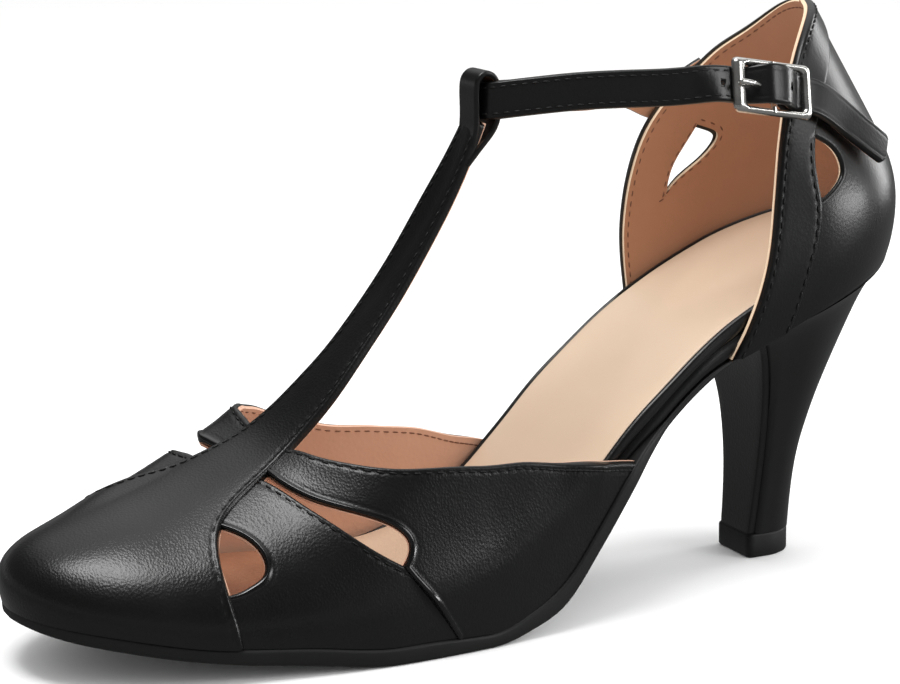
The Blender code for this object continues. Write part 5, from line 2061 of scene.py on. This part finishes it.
@dataclass
class Stage:
    """Floor, light and the camera at the photograph's angle."""

    azimuth: float = 1.13256
    elevation: float = 0.22178
    distance: float = 599.4
    focal_px: float = 2593.3
    centre_px: Pair = (11.5, 5.3)
    roll: float = -0.01789
    aim: Place = (113.0, 0.0, 60.0)
    width_px: int = 900
    sensor: float = 36.0
    clip: Pair = (0.01, 50.0)
    floor_radius: float = 6.0
    floor_sides: int = 96
    floor_roughness: float = 0.9
    horizon: Rows = ((-1.0, 0.06), (-0.25, 0.08), (-0.05, 0.03), (0.0, 0.04), (0.03, 0.18), (0.08, 0.14),
                     (0.16, 0.03), (1.0, 0.03))
    horizon_axis: Place = (0.0, 0.0, 1.0)
    dome: Rows = ((-1.0, 0.4), (1.0, 1.0))
    dome_axis: Place = (0.90, 0.40, 0.0)
    dome_strength: float = 1.52
    overhead: Rows = ((0.72, 0.0), (0.95, 0.34))
    overhead_axis: Place = (0.35, 0.45, 0.82)
    sky_strength: float = 2.7
    light_aim: Place = (-0.03, 0.0, 0.05)
    boxes: tuple[Lamp, ...] = (
        Lamp("toe_strip", (-0.26, -0.05, 1.0), (0.60, 0.28), 5.5),
        Lamp("wing_strip", (0.90, -0.60, 0.15), (0.45, 0.12), 2.3),
        Lamp("buckle_box", (0.62, -0.78, 0.60), (0.42, 0.32), 2.3),
        Lamp("heel_side", (0.95, 0.10, 0.30), (0.25, 0.50), 2.5))

    def camera(self) -> None:
        """Sets the camera."""
        back = np.array([-math.cos(self.azimuth) * math.cos(self.elevation),
                         -math.sin(self.azimuth) * math.cos(self.elevation), math.sin(self.elevation)])
        right = unit(np.cross(-back, [0.0, 0.0, 1.0]))
        up = np.cross(right, -back)
        c, s = math.cos(self.roll), math.sin(self.roll)
        right, up = c * right + s * up, c * up - s * right
        data = bpy.data.cameras.new("camera")
        data.sensor_width = self.sensor
        data.lens = self.focal_px * self.sensor / self.width_px
        data.shift_x = -self.centre_px[0] / self.width_px
        data.shift_y = self.centre_px[1] / self.width_px
        data.clip_start, data.clip_end = self.clip
        turn = Matrix(np.column_stack([right, up, back]).tolist())
        camera = bpy.data.objects.new("camera", data)
        place = Vector(to_part(np.array(self.aim) + back * self.distance))
        camera.matrix_world = Matrix.Translation(place) @ turn.to_4x4()
        bpy.context.scene.collection.objects.link(camera)
        bpy.context.scene.camera = camera

    def floor(self) -> None:
        """Sets a wide pale floor."""
        form = bmesh.new()
        bmesh.ops.create_circle(form, cap_ends=True, segments=self.floor_sides, radius=self.floor_radius)
        mesh = bpy.data.meshes.new("floor")
        form.to_mesh(mesh)
        form.free()
        floor = bpy.data.objects.new("floor", mesh)
        bpy.context.scene.collection.objects.link(floor)
        material = bpy.data.materials.new("paper_white")
        material.use_nodes = True
        shader = material.node_tree.nodes["Principled BSDF"]
        shader.inputs["Base Color"].default_value = linear("#ffffff")
        shader.inputs["Roughness"].default_value = self.floor_roughness
        mesh.materials.append(material)
        floor.visible_glossy = False

    def _glow(self, tree: bpy.types.NodeTree, direction: bpy.types.NodeSocket, axis: Place,
              rows: Rows) -> bpy.types.NodeSocket:
        """Brightness of the surrounding that changes along an axis.

        Args:
            tree: the world's nodes.
            direction: the direction looked at.
            axis: the axis.
            rows: place along the axis, from -1 to 1, and brightness there.

        Returns:
            The brightness.
        """
        along = add_node(tree, "ShaderNodeVectorMath", {"operation": "DOT_PRODUCT"}, {0: direction, 1: axis})
        share = add_node(tree, "ShaderNodeMath", {"operation": "MULTIPLY_ADD"}, {
            0: along.outputs["Value"], 1: 0.5, 2: 0.5})
        ramp = add_node(tree, "ShaderNodeValToRGB", inputs={0: share.outputs[0]})
        steps = ramp.color_ramp.elements
        while len(steps) < len(rows):
            steps.new(0.5)
        for step, (place, grey) in zip(steps, rows):
            step.position = 0.5 + place / 2
            step.color = (grey, grey, grey, 1.0)
        return ramp.outputs["Color"]

    def light(self) -> None:
        """Sets soft boxes and a surrounding that is bright overhead and behind, dark in front."""
        world = bpy.data.worlds.new("studio")
        bpy.context.scene.world = world
        world.use_nodes = True
        tree = world.node_tree
        tree.nodes.clear()
        direction = add_node(tree, "ShaderNodeTexCoord").outputs["Generated"]
        horizon = self._glow(tree, direction, self.horizon_axis, self.horizon)
        overhead = self._glow(tree, direction, self.overhead_axis, self.overhead)
        behind = self._glow(tree, direction, self.dome_axis, self.dome)
        sky = add_node(tree, "ShaderNodeMath", {"operation": "ADD"}, {0: horizon, 1: overhead})
        studio = add_node(tree, "ShaderNodeBackground", inputs={
            "Color": sky.outputs[0], "Strength": self.sky_strength})
        dome = add_node(tree, "ShaderNodeBackground", inputs={
            "Color": behind, "Strength": self.dome_strength})
        light = add_node(tree, "ShaderNodeMixShader", inputs={
            0: add_node(tree, "ShaderNodeLightPath").outputs["Is Diffuse Ray"], 1: studio.outputs[0],
            2: dome.outputs[0]})
        add_node(tree, "ShaderNodeOutputWorld", inputs={"Surface": light.outputs[0]})
        for box in self.boxes:
            data = bpy.data.lights.new(box.name, "AREA")
            data.shape = "RECTANGLE"
            data.size, data.size_y = box.size
            data.energy = box.power
            lamp = bpy.data.objects.new(box.name, data)
            lamp.location = box.place
            towards = Vector(self.light_aim) - Vector(box.place)
            lamp.rotation_euler = towards.to_track_quat("-Z", "Y").to_euler()
            bpy.context.scene.collection.objects.link(lamp)
        bpy.context.scene.view_settings.view_transform = "Standard"


BROWN_STITCH = (1.7, 0.42)


def main() -> None:
    """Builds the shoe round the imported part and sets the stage."""
    logging.basicConfig(level=logging.INFO, format="%(message)s")
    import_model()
    stage = Stage()
    stage.camera()
    stage.floor()
    stage.light()
    sewing = StitchMaker()

    vamp = Vamp()
    seams = []
    toe = vamp.toe_piece()
    enter(toe.build([LEATHER]), LEATHER, "vamp")
    seams += toe.sewn()
    for pattern, side in ((OUTER, "outer"), (INNER, "inner")):
        for panel in (vamp.wedge(pattern, f"wedge_panel_{side}"), vamp.wing(pattern, f"wing_panel_{side}")):
            enter(panel.build([LEATHER, EDGE_DYE], shiny_mark=1), LEATHER, "vamp")
            seams += panel.sewn()
    enter(vamp.lining().build([VAMP_LINING_PAINTED_LIGHT]), VAMP_LINING_PAINTED_LIGHT, "vamp")

    quarter = Quarter()
    for panel in (quarter.collar_band(), quarter.back_panel()):
        enter(panel.build([SMOOTH_LEATHER]), SMOOTH_LEATHER, "quarter")
        seams += panel.sewn()
    enter(quarter.lining().build([LINING, RAW_EDGE], 1), LINING, "quarter")
    brown_rows = quarter.lining_stitches() + vamp.lining_stitches()
    enter(sewing.sew("brown_stitches", brown_rows, BROWN_THREAD, *BROWN_STITCH), BROWN_THREAD)

    bottom = Bottom()
    enter(bottom.outsole(), RUBBER, "outsole")
    enter(bottom.insole(), SMOOTH_LEATHER, "insole")
    enter(bottom.rear_sock(), SOCK, "sock")
    enter(bottom.front_cover(), LINING, "sock")

    heel = Heel()
    enter(heel.block(), HEEL_LEATHER, "heel")
    enter(heel.breast_flap(), LEATHER, "breast_flap")
    enter(heel.top_lift(), RUBBER, "top_lift")

    strapping = Strapping()
    enter(strapping.ankle_strap(), SMOOTH_LEATHER, "ankle_strap")
    enter(strapping.loop(), SMOOTH_LEATHER, "vamp")
    enter(strapping.tab(), SMOOTH_LEATHER, "buckle_tab")
    enter(strapping.frame(), STEEL, "buckle_frame")
    enter(strapping.middle_bar(), STEEL, "buckle_frame")
    enter(strapping.prong(), STEEL, "buckle_prong")
    seams += strapping.strap_stitches()
    enter(sewing.sew("black_stitches", seams, THREAD), THREAD)


if __name__ == "__main__":
    main()
